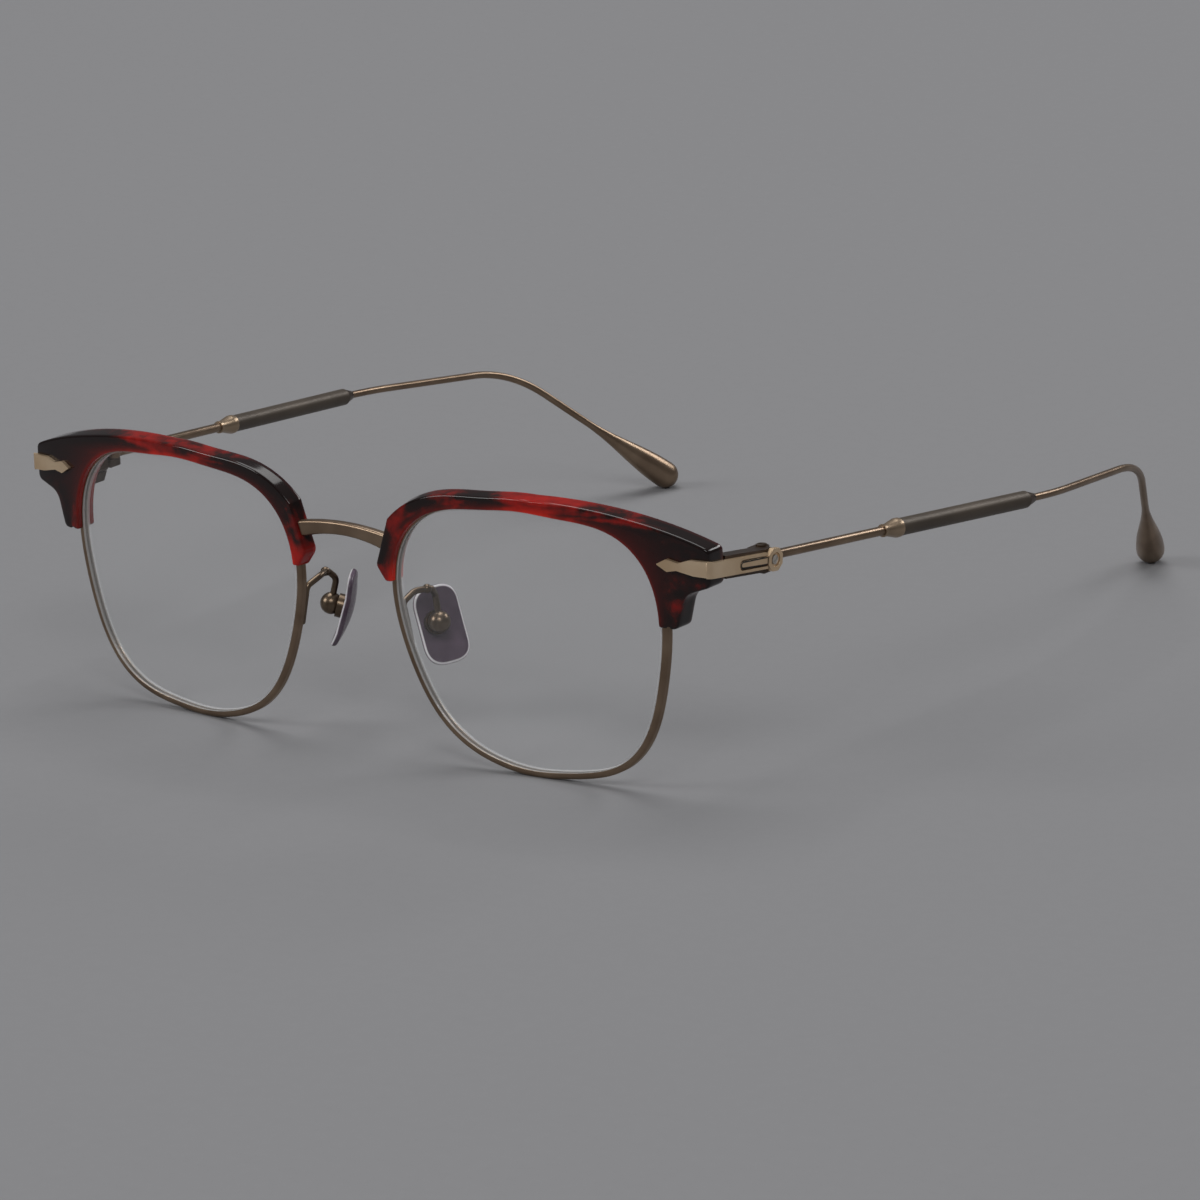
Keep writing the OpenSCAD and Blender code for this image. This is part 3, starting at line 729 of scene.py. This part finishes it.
@dataclass
class Brow(Part):
    """A brow: acetate bar over the top of the eye-wire, with a lug and a down tab at the temple side."""

    curve: FrontCurve = FrontCurve()
    front: float = 1.2
    lip: float = 0.9
    band: float = 1.7
    nose_extra: float = 1.6
    nose_x: float = 7.15
    lug_x: float = 71.55
    lug_top: float = 43.3
    lug_low: float = 37.1
    tab_x: float = 65.35
    tab_z: float = 29.4
    back_radius: float = 339.34
    back_front: float = -1.857
    lean: float = 0.35
    front_round: float = 0.42
    inner_round: float = 0.35
    back_round: float = 0.8
    end_round: float = 0.45
    step: float = 0.3
    # angles round the lens between which the outer edge follows it, and the pull of the slope to the lug
    crown: tuple = (150.0, 84.0)
    pull: tuple = (19, 5.9)
    # the groove: its play round the eye-wire, the depth of its rear wall, and the acetate left behind it
    play: float = 0.03
    groove_back: float = 1.43
    web: float = 0.12
    # distance from the nose end along the outer edge, and how red the sheet is there
    red_right: tuple = ((0, 0.75), (3, 0.62), (6.5, 0.3), (9, 0.28), (12, 0.5), (15, 0.55), (18, 0.35),
                        (21, 0.2), (24, 0.38), (28, 0.52), (31, 0.28), (34, 0.15), (37, 0.4), (40, 0.72),
                        (46, 0.85), (52, 0.72), (56, 0.45), (59, 0.28), (62.5, 0.55), (66, 0.3), (70, 0.1),
                        (76, 0.05), (80, 0.15), (84, 0.22), (88, 0.25), (95, 0.2))
    red_left: tuple = ((0, 0.95), (3, 0.9), (6.5, 0.35), (9.5, 0.55), (12, 0.25), (16, 0.1), (22, 0.08),
                       (26, 0.2), (30, 0.4), (34, 0.7), (38, 0.42), (42, 0.6), (50, 0.7), (54, 0.45),
                       (60, 0.22), (68, 0.12), (76, 0.08), (84, 0.15), (88, 0.2), (95, 0.3))

    def outline(self) -> tuple[np.ndarray, list[float]]:
        """The outer edge from the nose end to the tab: the eye-wire's edge moved out, then a parabola.

        Returns:
            The line in the XZ plane, and how far along it its landmarks are.
        """
        c = self.curve
        first, last = self.crown
        angles = np.arange(first, last - 0.5, -0.75)
        over = c.point(angles, -self.band - self.nose_extra * ((angles - last) / (first - last)) ** 3.5)
        end = over[-1]
        t = np.linspace(0, 1, 25)[1:, None]
        pull = np.array([end[0] + self.pull[0], self.lug_top + self.pull[1]])
        slope = end * (1 - t) ** 2 + pull * 2 * t * (1 - t) + np.array([self.lug_x, self.lug_top]) * t**2
        start = np.array([c.lens_x - c.rim_x + self.lip + 0.3, self.tab_z + 1.8])
        nose = [start * 0.62 + np.array([c.lens_x - c.rim_x - 0.4, self.tab_z + 1.6]) * 0.38,
                [c.lens_x - c.rim_x - 0.4, self.tab_z + 1.6], [self.nose_x, self.tab_z + 4.4]]
        side = [[self.lug_x, self.lug_low], [self.tab_x + 1.5, self.lug_low - 1.7], [self.tab_x, self.tab_z],
                [self.tab_x - 1.6, self.tab_z]]
        corners = np.vstack([nose, over, slope, side])
        radii = np.zeros(len(corners))
        radii[[1, 2]] = 0.5, 0.9
        lug = len(nose) + len(over) + len(slope) - 1
        radii[lug : lug + 4] = 0.8, 0.9, 1.6, 0.9
        marks = np.r_[0, np.cumsum(np.linalg.norm(np.diff(corners, axis=0), axis=1))]
        line = rounded(corners, radii, 8, loop=False)
        run = np.cumsum(np.linalg.norm(np.diff(line, axis=0), axis=1))[-1]
        places = [2, 3, len(nose) + len(over) - 1, lug, lug + 1, lug + 2, lug + 3]
        return line, [float(marks[i] * run / marks[-1]) for i in places] + [float(run)]

    def rings(self) -> tuple[np.ndarray, dict[str, np.ndarray]]:
        """Works out every ring across the brow.

        The outer wall is the outline, leaning back by `lean`; the inner wall is the eye-wire's edge moved
        in by `lip`, with a groove for the eye-wire. Front and back are two balls. Each corner of the
        section is a quarter circle, and both ends are rounded by drawing the rings in.

        Returns:
            Rings of points, and their marks: the sheet's red, the painted edge glow, and the way along and
                across.
        """
        c = self.curve
        line, knots = self.outline()
        total = knots[-1]
        close = np.array([0, 0.03, 0.1, 0.2, 0.32])
        s = np.r_[close, np.arange(0.45, total - 0.45, self.step), total - close[::-1]]
        outer = resampled(line, s)
        fine = resampled(line, np.clip(np.stack([s - 0.15, s + 0.15]), 0, total).ravel()).reshape(2, -1, 2)
        t = unit(fine[1] - fine[0])
        inward = np.stack([t[:, 1], -t[:, 0]], -1)
        # the opening's edge starts and stops level with the two ends, so that these are flat
        scan = np.arange(5.0, 175.0, 0.1)
        height = c.point(scan, self.lip)[:, 1]
        low, high = float(scan[height >= self.tab_z][0]), float(scan[height >= self.tab_z + 1.8][-1])
        turns = [high, high - 5.5, *self.crown, 45.0, 35.0, low + 11, low + 2.8, low]
        angle = np.interp(s, [0, *knots], turns)
        near = np.minimum(s, total - s) / self.end_round
        drawn = self.end_round * (1 - np.sqrt(1 - (1 - np.clip(near, 0, 1)) ** 2))
        lug_run = knots[3]
        lean = self.lean * np.interp(s, [0, 6, lug_run - 14, lug_run - 2, total], [0.4, 1, 1, 0, 0])

        def outside(inset: np.ndarray | float) -> np.ndarray:
            """The outer edge moved inwards."""
            return outer + inward * (np.zeros(len(s)) + inset + drawn)[:, None]

        def inside(inset: np.ndarray | float) -> np.ndarray:
            """The opening's edge, `inset` from the eye-wire's outer edge."""
            return c.point(angle, np.zeros(len(s)) + inset - drawn)

        def front(plane: np.ndarray, down: float = 0.0) -> np.ndarray:
            """Points on the front ball, a little below it."""
            return np.stack([plane[:, 0], c.bow(plane, -self.front) + down + drawn, plane[:, 1]], -1)

        def back(plane: np.ndarray, up: float = 0.0) -> np.ndarray:
            """Points on the back ball, a little in front of it."""
            dip = np.sqrt(self.back_radius**2 - (plane[:, 0] ** 2 + (plane[:, 1] - c.bow_height) ** 2))
            return np.stack([plane[:, 0], self.back_front + self.back_radius - dip - up - drawn,
                             plane[:, 1]], -1)

        rows: list[np.ndarray] = []
        lit: list[float] = []

        def add(row: np.ndarray, light: float) -> None:
            """Adds one line of points along the brow with its share of painted edge glow."""
            rows.append(row)
            lit.append(light)

        quarter = np.radians([0, 22.5, 45, 67.5, 90])
        r = self.back_round
        for q in quarter:
            add(back(outside(r * (1 - np.sin(q))), r * (1 - np.cos(q))), 0.1)
        low, high = back(outside(0.0), r), front(outside(lean), self.front_round)
        for share in (0.25, 0.5, 0.75):
            add(low * (1 - share) + high * share, 0.0)
        r = self.front_round
        for q in quarter:
            add(front(outside(lean + r * (1 - np.cos(q))), r * (1 - np.sin(q))), 0.0)
        k = self.inner_round
        for share in (0.25, 0.5, 0.75, 1.0):
            plane = outside(lean + r) * (1 - share) + inside(self.lip - k - 0.4) * share
            add(front(plane), 0.18 * share**3)
        for q in quarter:
            light = 0.45 + 0.5 * float(np.sin(q))
            add(front(inside(self.lip - k * (1 - np.sin(q))), k * (1 - np.cos(q))), light)
        wall, deep = inside(self.lip), c.point(angle, -self.play)
        add(c.lift(wall, -self.play), 1.0)
        add(c.lift(deep, -self.play), 0.0)
        add(c.lift(deep, self.groove_back), 0.0)
        rear = np.minimum(c.bow(wall, self.groove_back), back(wall, self.web)[:, 1])
        add(np.stack([wall[:, 0], rear, wall[:, 1]], -1), 1.0)
        add(back(wall, 0.08), 1.0)
        add(back(inside(self.lip - 0.1), 0.0), 0.8)
        for share in (0.2, 0.4, 0.6, 0.8):
            add(back(inside(self.lip - 0.1) * (1 - share) + outside(self.back_round) * share), 0.2)
        rings = np.stack(rows, axis=1)
        table = np.array(self.red_right if self.side is Side.RIGHT else self.red_left)
        red = np.interp(s, table[:, 0], table[:, 1])
        # painted glow: how strongly the edges glow at each place along the brow
        painted_glow_share = np.interp(s, [0, 6, 12, 30, 38, 56, 66, 82, total],
                          [0.8, 0.45, 0.3, 0.35, 1, 1, 0.8, 0.6, 0.25])
        girth = np.cumsum(np.linalg.norm(np.diff(rings, axis=1, prepend=rings[:, :1]), axis=2), axis=1)
        # the left brow is cut from another place of the sheet
        start = 0.2 if self.side is Side.LEFT else 0.0
        ones = np.ones(rings.shape[:2])
        marks = {"red": red[:, None] * ones, "along": (s * MM + start)[:, None] * ones,
                 "across": np.median(girth, axis=0) * MM * ones, "lit": np.array(lit) * painted_glow_share[:, None]}
        return rings, marks

    def build(self) -> None:
        """Makes the brow."""
        rings, marks = self.rings()
        self.put("brow", lofted(rings, marks=marks), Slot.ACETATE, 50)


@dataclass
class EyeWire(Part):
    """The eye-wire: a metal profile all round the lens, with a groove inside and a fine line outside."""

    curve: FrontCurve = FrontCurve()
    section: tuple = ((0.0, 0.34), (0.0, 0.8), (0.07, 0.86), (0.07, 0.9), (0.0, 0.96), (0.0, 1.22),
                      (0.05, 1.35), (0.18, 1.4), (0.95, 1.4), (1.06, 1.36), (1.1, 1.28), (1.1, 1.1),
                      (0.6, 1.1), (0.6, 0.3), (1.1, 0.3), (1.1, 0.16), (1.06, 0.05), (0.96, 0.0),
                      (0.75, -0.02), (0.5, -0.02), (0.3, 0.03), (0.14, 0.11), (0.04, 0.22))

    def build(self) -> None:
        """Carries the section, given as inset and depth, round the eye-wire's outline."""
        c = self.curve
        angles = np.arange(0, 360, 1.5)
        rings = np.stack([c.lift(c.point(angles, inset), depth) for inset, depth in self.section], 1)
        self.put("eyewire", lofted(rings, closed=True), Slot.BRONZE, 32)


@dataclass
class Lens(Part):
    """A lens: two ball surfaces and a ground edge whose tongue lies in the eye-wire's groove."""

    curve: FrontCurve = FrontCurve()
    front: float = -0.2
    back: float = 1.6
    inset: float = 1.15
    chamfer: float = 0.12
    # the tongue: inset of its tip, and depth of its two walls
    tongue: tuple = (0.65, 0.35, 1.05)

    def build(self) -> None:
        """Carries a section from the middle of the front over the edge to the middle of the back."""
        c, cut = self.curve, self.chamfer
        angles = np.arange(0, 360, 2.0)
        middle = np.array([c.lens_x, c.lens_z])
        rim = c.point(angles, self.inset + cut)
        shares = (0.04, 0.2, 0.4, 0.6, 0.8, 0.92)
        tip, low, high = self.tongue
        edge = ((self.inset + cut, self.front), (self.inset, self.front + cut), (self.inset, low), (tip, low),
                (tip, high), (self.inset, high), (self.inset, self.back - cut), (self.inset + cut, self.back))
        rows = [c.lift(middle + (rim - middle) * f, self.front) for f in shares]
        rows += [c.lift(c.point(angles, inset), depth) for inset, depth in edge]
        rows += [c.lift(middle + (rim - middle) * f, self.back) for f in shares[::-1]]
        ring_of_face = np.r_[np.repeat(np.arange(len(rows) - 1), len(angles)), -1, -1]
        first = len(shares)
        edge_faces = (ring_of_face >= first) & (ring_of_face < first + len(edge) - 1)
        self.put("lens", lofted(np.stack(rows, 0)), Slot.LENS, 30, second=Slot.EDGE, second_faces=edge_faces)


@dataclass
class Bridge(Part):
    """The bridge: a flattened, arched bar whose ends go into the brows."""

    half: float = 9.5
    seen: float = 7.85
    top: float = 39.9
    height: float = 2.2
    rise: float = 0.6
    low_rise: float = 1.1
    front: float = -4.407
    depth: float = 1.7
    corner: float = 0.45

    def build(self) -> None:
        """Carries a rounded oblong between two arcs: z falls as the circle through the brows' faces."""
        x = np.linspace(-self.half, self.half, 81)

        def arc(crest: float, rise: float) -> np.ndarray:
            """Height of the circle that drops by `rise` at the brows."""
            radius = (self.seen**2 + rise**2) / 2 / rise
            return crest - radius + np.sqrt(radius**2 - x**2)

        high, low = arc(self.top, self.rise), arc(self.top - self.height, self.low_rise)
        turn = np.radians(np.arange(0, 360, 10) + 5)
        # a rounded oblong: the corner circle's direction, pushed out to the four corners
        y = np.cos(turn) * self.corner + np.sign(np.cos(turn)) * (self.depth / 2 - self.corner)
        z = np.sin(turn) * self.corner
        middle = (high + low)[:, None] / 2
        half = (high - low)[:, None] / 2 - self.corner
        rings = np.stack([np.broadcast_to(x[:, None], (len(x), len(turn))),
                          np.broadcast_to(self.front + self.depth / 2 + y, (len(x), len(turn))),
                          middle + z + np.sign(np.sin(turn)) * half], -1)
        self.put("bridge", lofted(rings), Slot.BRONZE, 50)


# ---- temples ----


def heading(splay: float, drop: float) -> np.ndarray:
    """A direction from its outward splay and downward slope in degrees."""
    s, d = math.radians(splay), math.radians(drop)
    return np.array([math.sin(s) * math.cos(d), math.cos(s) * math.cos(d), -math.sin(d)])


@dataclass
class Temple(Part):
    """A temple: bronze rod, champagne collar, dark sleeve and ferrule, and a bent rod with a drop tip."""

    hinge: tuple = (69.55, 18.5142, 37.7503)
    splay: float = 4.0
    drop: float = 5.25
    collar_start: float = 31.3
    sleeve_start: float = 35.6
    sleeve_end: float = 70.2
    ferrule_length: float = 2.3
    sleeve: float = 1.5
    tail: float = 0.65
    tail_straight: float = 21.0
    # outward splay of the rear rod behind each bend, and its slope below the front rod's
    ear_turn: tuple = (-8.4, 0.35)
    tip_turn: tuple = (-29.8, 33.2)
    ear_bend: float = 53.0
    tip_bend: float = 26.0
    tip_radius: float = 2.55
    swell: float = 20.0

    def bend(self, start: np.ndarray, a: np.ndarray, b: np.ndarray, radius: float) -> np.ndarray:
        """Points on an arc that turns heading a into heading b.

        Args:
            start: Where the arc starts.
            a: Heading before.
            b: Heading after.
            radius: The arc's radius.

        Returns:
            The arc's points.
        """
        turn = math.acos(float(a @ b))
        side = np.cross(unit(np.cross(a, b)), a)
        w = np.linspace(0, turn, 24)[:, None]
        return start + side * radius * (1 - np.cos(w)) + a * radius * np.sin(w)

    def tail_skin(self) -> Skin:
        """The rear rod: straight, a gentle bend in, straight, a bend down, and a swell to the drop tip.

        The radius grows by half a cosine over the swell and closes with a quarter of a circle.

        Returns:
            The rod's skin.
        """
        go = heading(self.splay, self.drop)
        ear, tip = (heading(splay, self.drop + more) for splay, more in (self.ear_turn, self.tip_turn))
        start = np.array(self.hinge) + go * (self.sleeve_end - 4)
        ear_from = np.array(self.hinge) + go * (self.sleeve_end + self.ferrule_length)
        first = self.bend(ear_from, go, ear, self.ear_bend)
        second = self.bend(first[-1] + ear * self.tail_straight, ear, tip, self.tip_bend)
        last = second[-1]
        length = (last[2] - self.tip_radius) / -tip[2]
        down = np.linspace(0.5, length, 60)[:, None]
        close = np.radians(np.arange(6, 91, 6))
        end = last + tip * (length + self.tip_radius * np.sin(close))[:, None]
        path = np.vstack([start[None], ear_from[None] - go * 0.5, first, first[-1] + ear * 8, second,
                          last + tip * down, end])
        share = np.clip((down[:, 0] - length + self.swell) / self.swell, 0, 1)
        grow = self.tail + (self.tip_radius - self.tail) * (1 - np.cos(np.pi * share)) / 2
        lead = len(path) - len(grow) - len(end)
        radius = np.r_[np.full(lead, self.tail), grow, self.tip_radius * np.clip(np.cos(close), 0.02, 1)]
        along = np.vstack([np.tile(go, (2, 1)), np.gradient(first, axis=0), ear[None],
                           np.gradient(second, axis=0), np.tile(tip, (len(grow) + len(end), 1))])
        return swept(path, radius, unit(along), 32)

    def build(self) -> None:
        """Makes the front rod, the three turned pieces behind it and the rear rod."""
        base, go = np.array(self.hinge), heading(self.splay, self.drop)
        c0, s0, s1, rs = self.collar_start, self.sleeve_start, self.sleeve_end, self.sleeve
        top, end, thin = rs + 0.15, s1 + self.ferrule_length, self.tail
        profiles = (
            ("collar", Slot.CHAMPAGNE, Slot.COLLAR,
             ((c0, 0.81), (c0, 1.0), (c0 + 0.08, 1.1), (c0 + 0.5, 1.1), (c0 + 0.6, 1.0), (c0 + 0.68, 1.0),
              (c0 + 3.2, top - 0.06), (c0 + 3.45, top), (s0 - 0.12, top), (s0, top - 0.1), (s0, 0.9))),
            ("sleeve", Slot.SLEEVE, None,
             ((s0, 0.9), (s0, rs - 0.12), (s0 + 0.12, rs), (s0 + 5, rs), (s0 + 15, rs), (s0 + 25, rs),
              (s1 - 0.12, rs), (s1, rs - 0.1), (s1, 0.7))),
            ("ferrule", Slot.DARK, None,
             ((s1, 0.7), (s1, rs - 0.2), (s1 + 0.1, rs - 0.12), (end - 0.25, thin + 0.2), (end, thin + 0.08),
              (end, thin + 0.01))),
        )
        self.soften("temple_rod", Slot.BRONZE, 0.06, "temple")
        for word, slot, second, rows in profiles:
            self.put(word, turned(base, go, np.array(rows)), slot, 35, "temple", second)
        self.put("temple_tail", self.tail_skin(), Slot.BRONZE, 35, "temple")


# ---- nose pads ----


@dataclass
class NosePad(Part):
    """A nose pad on its arm: bent wire with a ball, a small socket and a moulded pad."""

    curve: FrontCurve = FrontCurve()
    ball: tuple = (11.6, 6.2, 21.8)
    ball_radius: float = 1.9
    wire: float = 0.55
    # the foot: its two angles round the lens and their inset, and the depth of the eye-wire's back
    foot: tuple = (186.0, 174.0)
    foot_inset: float = 0.4
    wire_back: float = 1.4
    turn: tuple = (7.0, -17.5, -32.3)
    shift: tuple = (-0.6, 1.0)
    width: float = 8.0
    height: float = 13.4
    thickness: float = 1.6
    socket_out: float = 2.3
    corner: float = 3.4
    edge_round: float = 0.5
    taper: float = 0.35
    bow: float = 0.7
    bead: float = 0.8

    def arm_skin(self) -> Skin:
        """The wire: a path through six points with soft bends and a bead, and the ball at its end.

        Returns:
            The arm's skin.
        """
        c, ball = self.curve, np.array(self.ball)
        foot = c.point(np.array(self.foot), self.foot_inset)
        y = float(c.bow(foot[1:], self.wire_back)[0]) + self.wire - 0.1
        corners = np.array([[foot[0, 0], y, foot[0, 1]], [foot[1, 0], y, foot[1, 1]],
                            ball + [-1.6, -4.3, 6.2], ball + [-0.4, -1.2, 6.1], ball + [-1, 0.5, 4.4], ball])
        path = rounded(corners, np.array([0, 0.9, 0.9, 0.7, 0.9, 0]), 9, loop=False)
        # the foot tapers where it is soldered to the eye-wire
        radius = np.r_[self.wire * 0.6, np.full(len(path), self.wire)]
        path = np.vstack([path[0] - [0, 0, 0.25], path])
        return joined([swept(path, radius, sides=20), ball_skin(ball + [-0.7, -2.0, 6.15], self.bead),
                       ball_skin(ball, self.ball_radius)])

    def place(self, local: np.ndarray) -> np.ndarray:
        """Puts points of the pad's own frame (long way, across, outwards) in their place at the ball.

        Args:
            local: Points in the pad's own frame.

        Returns:
            The points in the maker's frame.
        """
        a, b, c = self.turn
        lay = np.array([[0, 0, -1], [0, 1, 0], [1, 0, 0]])
        return local @ (spin(2, c) @ spin(1, b) @ spin(0, a) @ lay).T + np.array(self.ball)

    def pad_skin(self) -> Skin:
        """The pad: a rounded oblong whose edge is a half circle and whose faces are gently domed.

        Returns:
            The pad's skin.
        """
        h, w, r, t = self.height / 2, self.width / 2, self.edge_round, self.thickness
        outline = rounded(np.array([[-h, -w], [h, -w], [h, w], [-h, w]]), np.full(4, self.corner), 14)
        away = unit(outline)
        shares = (0.03, 0.3, 0.6, 0.82)
        rows = [np.c_[outline * f, np.zeros(len(outline))] for f in shares]
        lit = [0.0] * len(shares)
        for q in np.radians(np.linspace(0, 180, 11)):
            inset, depth = r * (1 - np.sin(q)), t / 2 - (t / 2) * np.cos(q)
            rows.append(np.c_[outline - away * inset, np.full(len(outline), depth)])
            # painted highlight: the middle of the rounded edge is marked for the white rim colour
            lit.append(float(np.interp(q, [0.1, 0.3, 0.9, 1.25], [0, 1, 1, 0])))
        rows += [np.c_[outline * f, np.full(len(outline), t)] for f in shares[::-1]]
        lit += [0.0] * len(shares)
        rings = np.stack(rows, 0)
        # the pad is bent along its length and thinner towards its edge
        share = np.clip((rings[..., 0] / h) ** 2 + (rings[..., 1] / w) ** 2, 0, 1)
        rings[..., 2] = rings[..., 2] * (1 - self.taper * share) - self.bow * (rings[..., 0] / h) ** 2
        rings = rings + np.array([self.shift[0], self.shift[1], self.socket_out])
        marks = {"lit": np.repeat(np.array(lit)[:, None], rings.shape[1], axis=1)}
        skin = lofted(rings, marks=marks)
        return Skin(self.place(skin.points), skin.faces, skin.marks).outward()

    def build(self) -> None:
        """Makes the arm, the socket and the pad."""
        self.put("pad_arm", self.arm_skin(), Slot.BRIGHT, 60)
        self.soften("pad_socket", Slot.BRIGHT, 0.1, "pad")
        self.put("nose_pad", self.pad_skin(), Slot.PAD, 50, "pad")


# ---- end-pieces ----


@dataclass
class CoverScrew(Part):
    """The screw in the boss: a sunk ring painted dark as shade, and a bright domed head with a slanting slot.
    """

    ring: float = 1.15
    head: float = 0.8
    stem: float = 0.55
    sunk: float = 0.14
    dome: float = 0.07
    slot: float = 0.28
    slot_depth: float = 0.1
    slant: float = 35.0
    # how far the head reaches into the ring's floor
    overlap: float = 0.02

    def head_skin(self, base: np.ndarray, out: float) -> Skin:
        """The head: loops across the slot; each goes along the domed top and back underneath.

        The along-slot half length of a loop at distance u from the middle is the circle's, and the top
        falls with the square of the distance from the middle. Loops inside the slot lie lower.

        Args:
            base: The middle of the head's foot.
            out: The head's height.

        Returns:
            The head's skin.
        """
        w, edge = self.slot / 2, self.head * 0.995
        u = np.r_[np.linspace(-edge, -w, 9), np.linspace(-w, w, 5), np.linspace(w, edge, 9)]
        low = np.r_[np.zeros(9), np.full(5, self.slot_depth), np.zeros(9)]
        along = np.linspace(-1, 1, 17)[None] * np.sqrt(self.head**2 - u**2)[:, None]
        top = out - self.dome * (along**2 + u[:, None] ** 2) / self.head**2 - low[:, None]
        loops = np.stack([np.hstack([top, np.zeros_like(top)]), np.hstack([along, along[:, ::-1]]),
                          np.repeat(u[:, None], 2 * top.shape[1], axis=1)], -1)
        return lofted(loops @ spin(0, self.slant).T + base)

    def build(self) -> None:
        """Makes the screw where the CAD one is."""
        corners = np.array(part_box(self.own("cover_screw"))) / MM
        x = np.sort(np.abs(corners[:, 0]))
        base = np.array([x[0], corners[:, 1].mean() + MIDDLE_Y, corners[:, 2].mean()])
        length = x[1] - x[0]
        floor = length - self.sunk
        rows = [(0, self.stem), (length - 0.3, self.stem), (length - 0.3, self.ring), (floor, self.ring),
                (floor, self.head * 0.9)]
        stem = turned(base, np.array([1.0, 0.0, 0.0]), np.array(rows))
        skin = joined([stem, self.head_skin(base + [floor - self.overlap, 0, 0], self.sunk + self.overlap)])
        # painted shade: the stem and the floor of the sunk ring take the dark finish
        ring_faces = np.arange(sum(map(len, skin.faces))) < sum(map(len, stem.faces))
        self.put("cover_screw", skin, Slot.STEEL, 35, second=Slot.PAINTED_SHADE, second_faces=ring_faces)


@dataclass
class EndPiece(Part):
    """The machined metal at the temple side: strap with spear, cover plate, hinge and closing block."""

    # each piece with its slot, the width and steps of its broken edges, and the width of its line of painted
    # shade
    parts: tuple = (("endpiece", Slot.CHAMPAGNE, 0.3, 4, 0.0), ("cover_plate", Slot.CHAMPAGNE, 0.07, 2, 0.34),
                    ("hinge_block", Slot.DARK, 0.08, 2, 0.0), ("hinge_screw", Slot.BRIGHT, 0.05, 2, 0.0),
                    ("rim_lock", Slot.DARK, 0.06, 2, 0.0), ("lock_screw", Slot.BRIGHT, 0.04, 2, 0.0))

    def build(self) -> None:
        """Breaks the edges of the machined pieces and dresses them."""
        for word, slot, width, steps, line in self.parts:
            self.soften(word, slot, width, segments=steps, line_mm=line)


# ---- studio ----


@dataclass
class Studio:
    """Plain grey floor, soft light and the camera at the photograph's angle."""

    floor: str = "#868688"
    azimuth: float = 37.5
    elevation: float = 15.97
    roll: float = -2.41
    place: tuple = (0.7156, -0.9449974, 0.3453)

    def hang(self, data: bpy.types.Camera | bpy.types.Light, axes: tuple, place: tuple) -> bpy.types.Object:
        """Puts a camera or lamp in the scene.

        Args:
            data: The camera or lamp.
            axes: Its own three axes.
            place: Where it is, in metres.

        Returns:
            Its object.
        """
        thing = bpy.data.objects.new(data.name, data)
        thing.matrix_world = Matrix(np.vstack([np.stack([*axes, place], -1), [0, 0, 0, 1]]).tolist())
        bpy.context.scene.collection.objects.link(thing)
        return thing

    def camera(self) -> None:
        """Puts up the camera: 210 mm on a 36 mm frame, turned by azimuth, elevation and roll."""
        a, e, r = (math.radians(v) for v in (self.azimuth, self.elevation, self.roll))
        back = np.array([math.sin(a) * math.cos(e), -math.cos(a) * math.cos(e), math.sin(e)])
        right = np.array([math.cos(a), math.sin(a), 0.0])
        up = np.cross(back, right)
        x = right * math.cos(r) + up * math.sin(r)
        y = up * math.cos(r) - right * math.sin(r)
        data = bpy.data.cameras.new("camera")
        data.lens, data.sensor_width, data.clip_start, data.clip_end = 210, 36, 0.05, 50
        bpy.context.scene.camera = self.hang(data, (x, y, back), self.place)

    def ground(self) -> None:
        """Lays the floor: fine matt studio paper."""
        mesh = bpy.data.meshes.new("floor")
        half = 12.0
        corners = [(-half, -half, 0), (half, -half, 0), (half, half, 0), (-half, half, 0)]
        mesh.from_pydata(corners, [], [(0, 1, 2, 3)])
        c = canvas("studio paper, matt")
        tooth = c.add("TexNoise", {"Scale": per_metre(2.5), "Detail": 3.0},
                      {"Vector": c.coords["Object"]})
        tone = c.add("ValToRGB", None, {0: tooth}, ((0.0, self.floor), (1.0, "#89898b")))
        mesh.materials.append(c.shaded({"Roughness": 0.9}, {"Base Color": tone}))
        floor = bpy.data.objects.new("floor", mesh)
        bpy.context.scene.collection.objects.link(floor)

    def lamp(self, name: str, place: tuple, size: tuple, watts: float) -> None:
        """Hangs a soft box that faces the glasses.

        Args:
            name: Its name.
            place: Where it hangs, in metres.
            size: Width and height in metres.
            watts: Its power.
        """
        data = bpy.data.lights.new(name, "AREA")
        data.shape, data.size, data.size_y, data.energy = "RECTANGLE", size[0], size[1], watts
        z = unit(np.array(place, dtype=float))
        x = unit(np.cross([0.0, 0.3, 1.0], z))
        self.hang(data, (x, np.cross(z, x), z), place)

    def light(self) -> None:
        """A grey room with a pale ceiling, an overhead soft box and three weaker ones."""
        world = bpy.data.worlds.new("studio")
        c = Canvas(world)
        height = c.add("SeparateXYZ", links={0: c.coords["Generated"]}).outputs["Z"]
        tone = c.add("ValToRGB", None, {0: height}, ((0.0, "#7c7c7e"), (1.0, "#c4c4c6"), (0.4, "#8a8a8c")))
        sky = c.add("Background", {"Strength": 0.5}, {"Color": tone})
        c.add("OutputWorld", links={"Surface": sky})
        bpy.context.scene.world = world
        self.lamp("overhead box", (-0.6, 0.7, 2.6), (1.8, 1.8), 33)
        self.lamp("left box", (-2.2, -2.4, 1.9), (1.4, 1.2), 34)
        self.lamp("front box", (1.5, -2.0, 2.3), (1.5, 0.9), 24)
        self.lamp("back box", (0.9, 2.7, 1.7), (1.8, 0.7), 22)

    def build(self) -> None:
        """Sets up camera, floor and light."""
        scene = bpy.context.scene
        scene.view_settings.view_transform = "Standard"
        self.camera()
        self.ground()
        self.light()
        log.info("studio: camera, floor, room and four soft boxes")


def main() -> None:
    """Builds the glasses piece by piece around the CAD frame and sets up the studio."""
    logging.basicConfig(level=logging.INFO, format="%(message)s")
    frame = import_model()
    finishes, nodes = made_finishes(), frame["nodes"]
    for side in Side:
        for kind in (Brow, EyeWire, Lens, EndPiece, CoverScrew, Temple, NosePad):
            kind(side, finishes, nodes).build()
    Bridge(None, finishes, nodes).build()
    Studio().build()


if __name__ == "__main__":
    main()
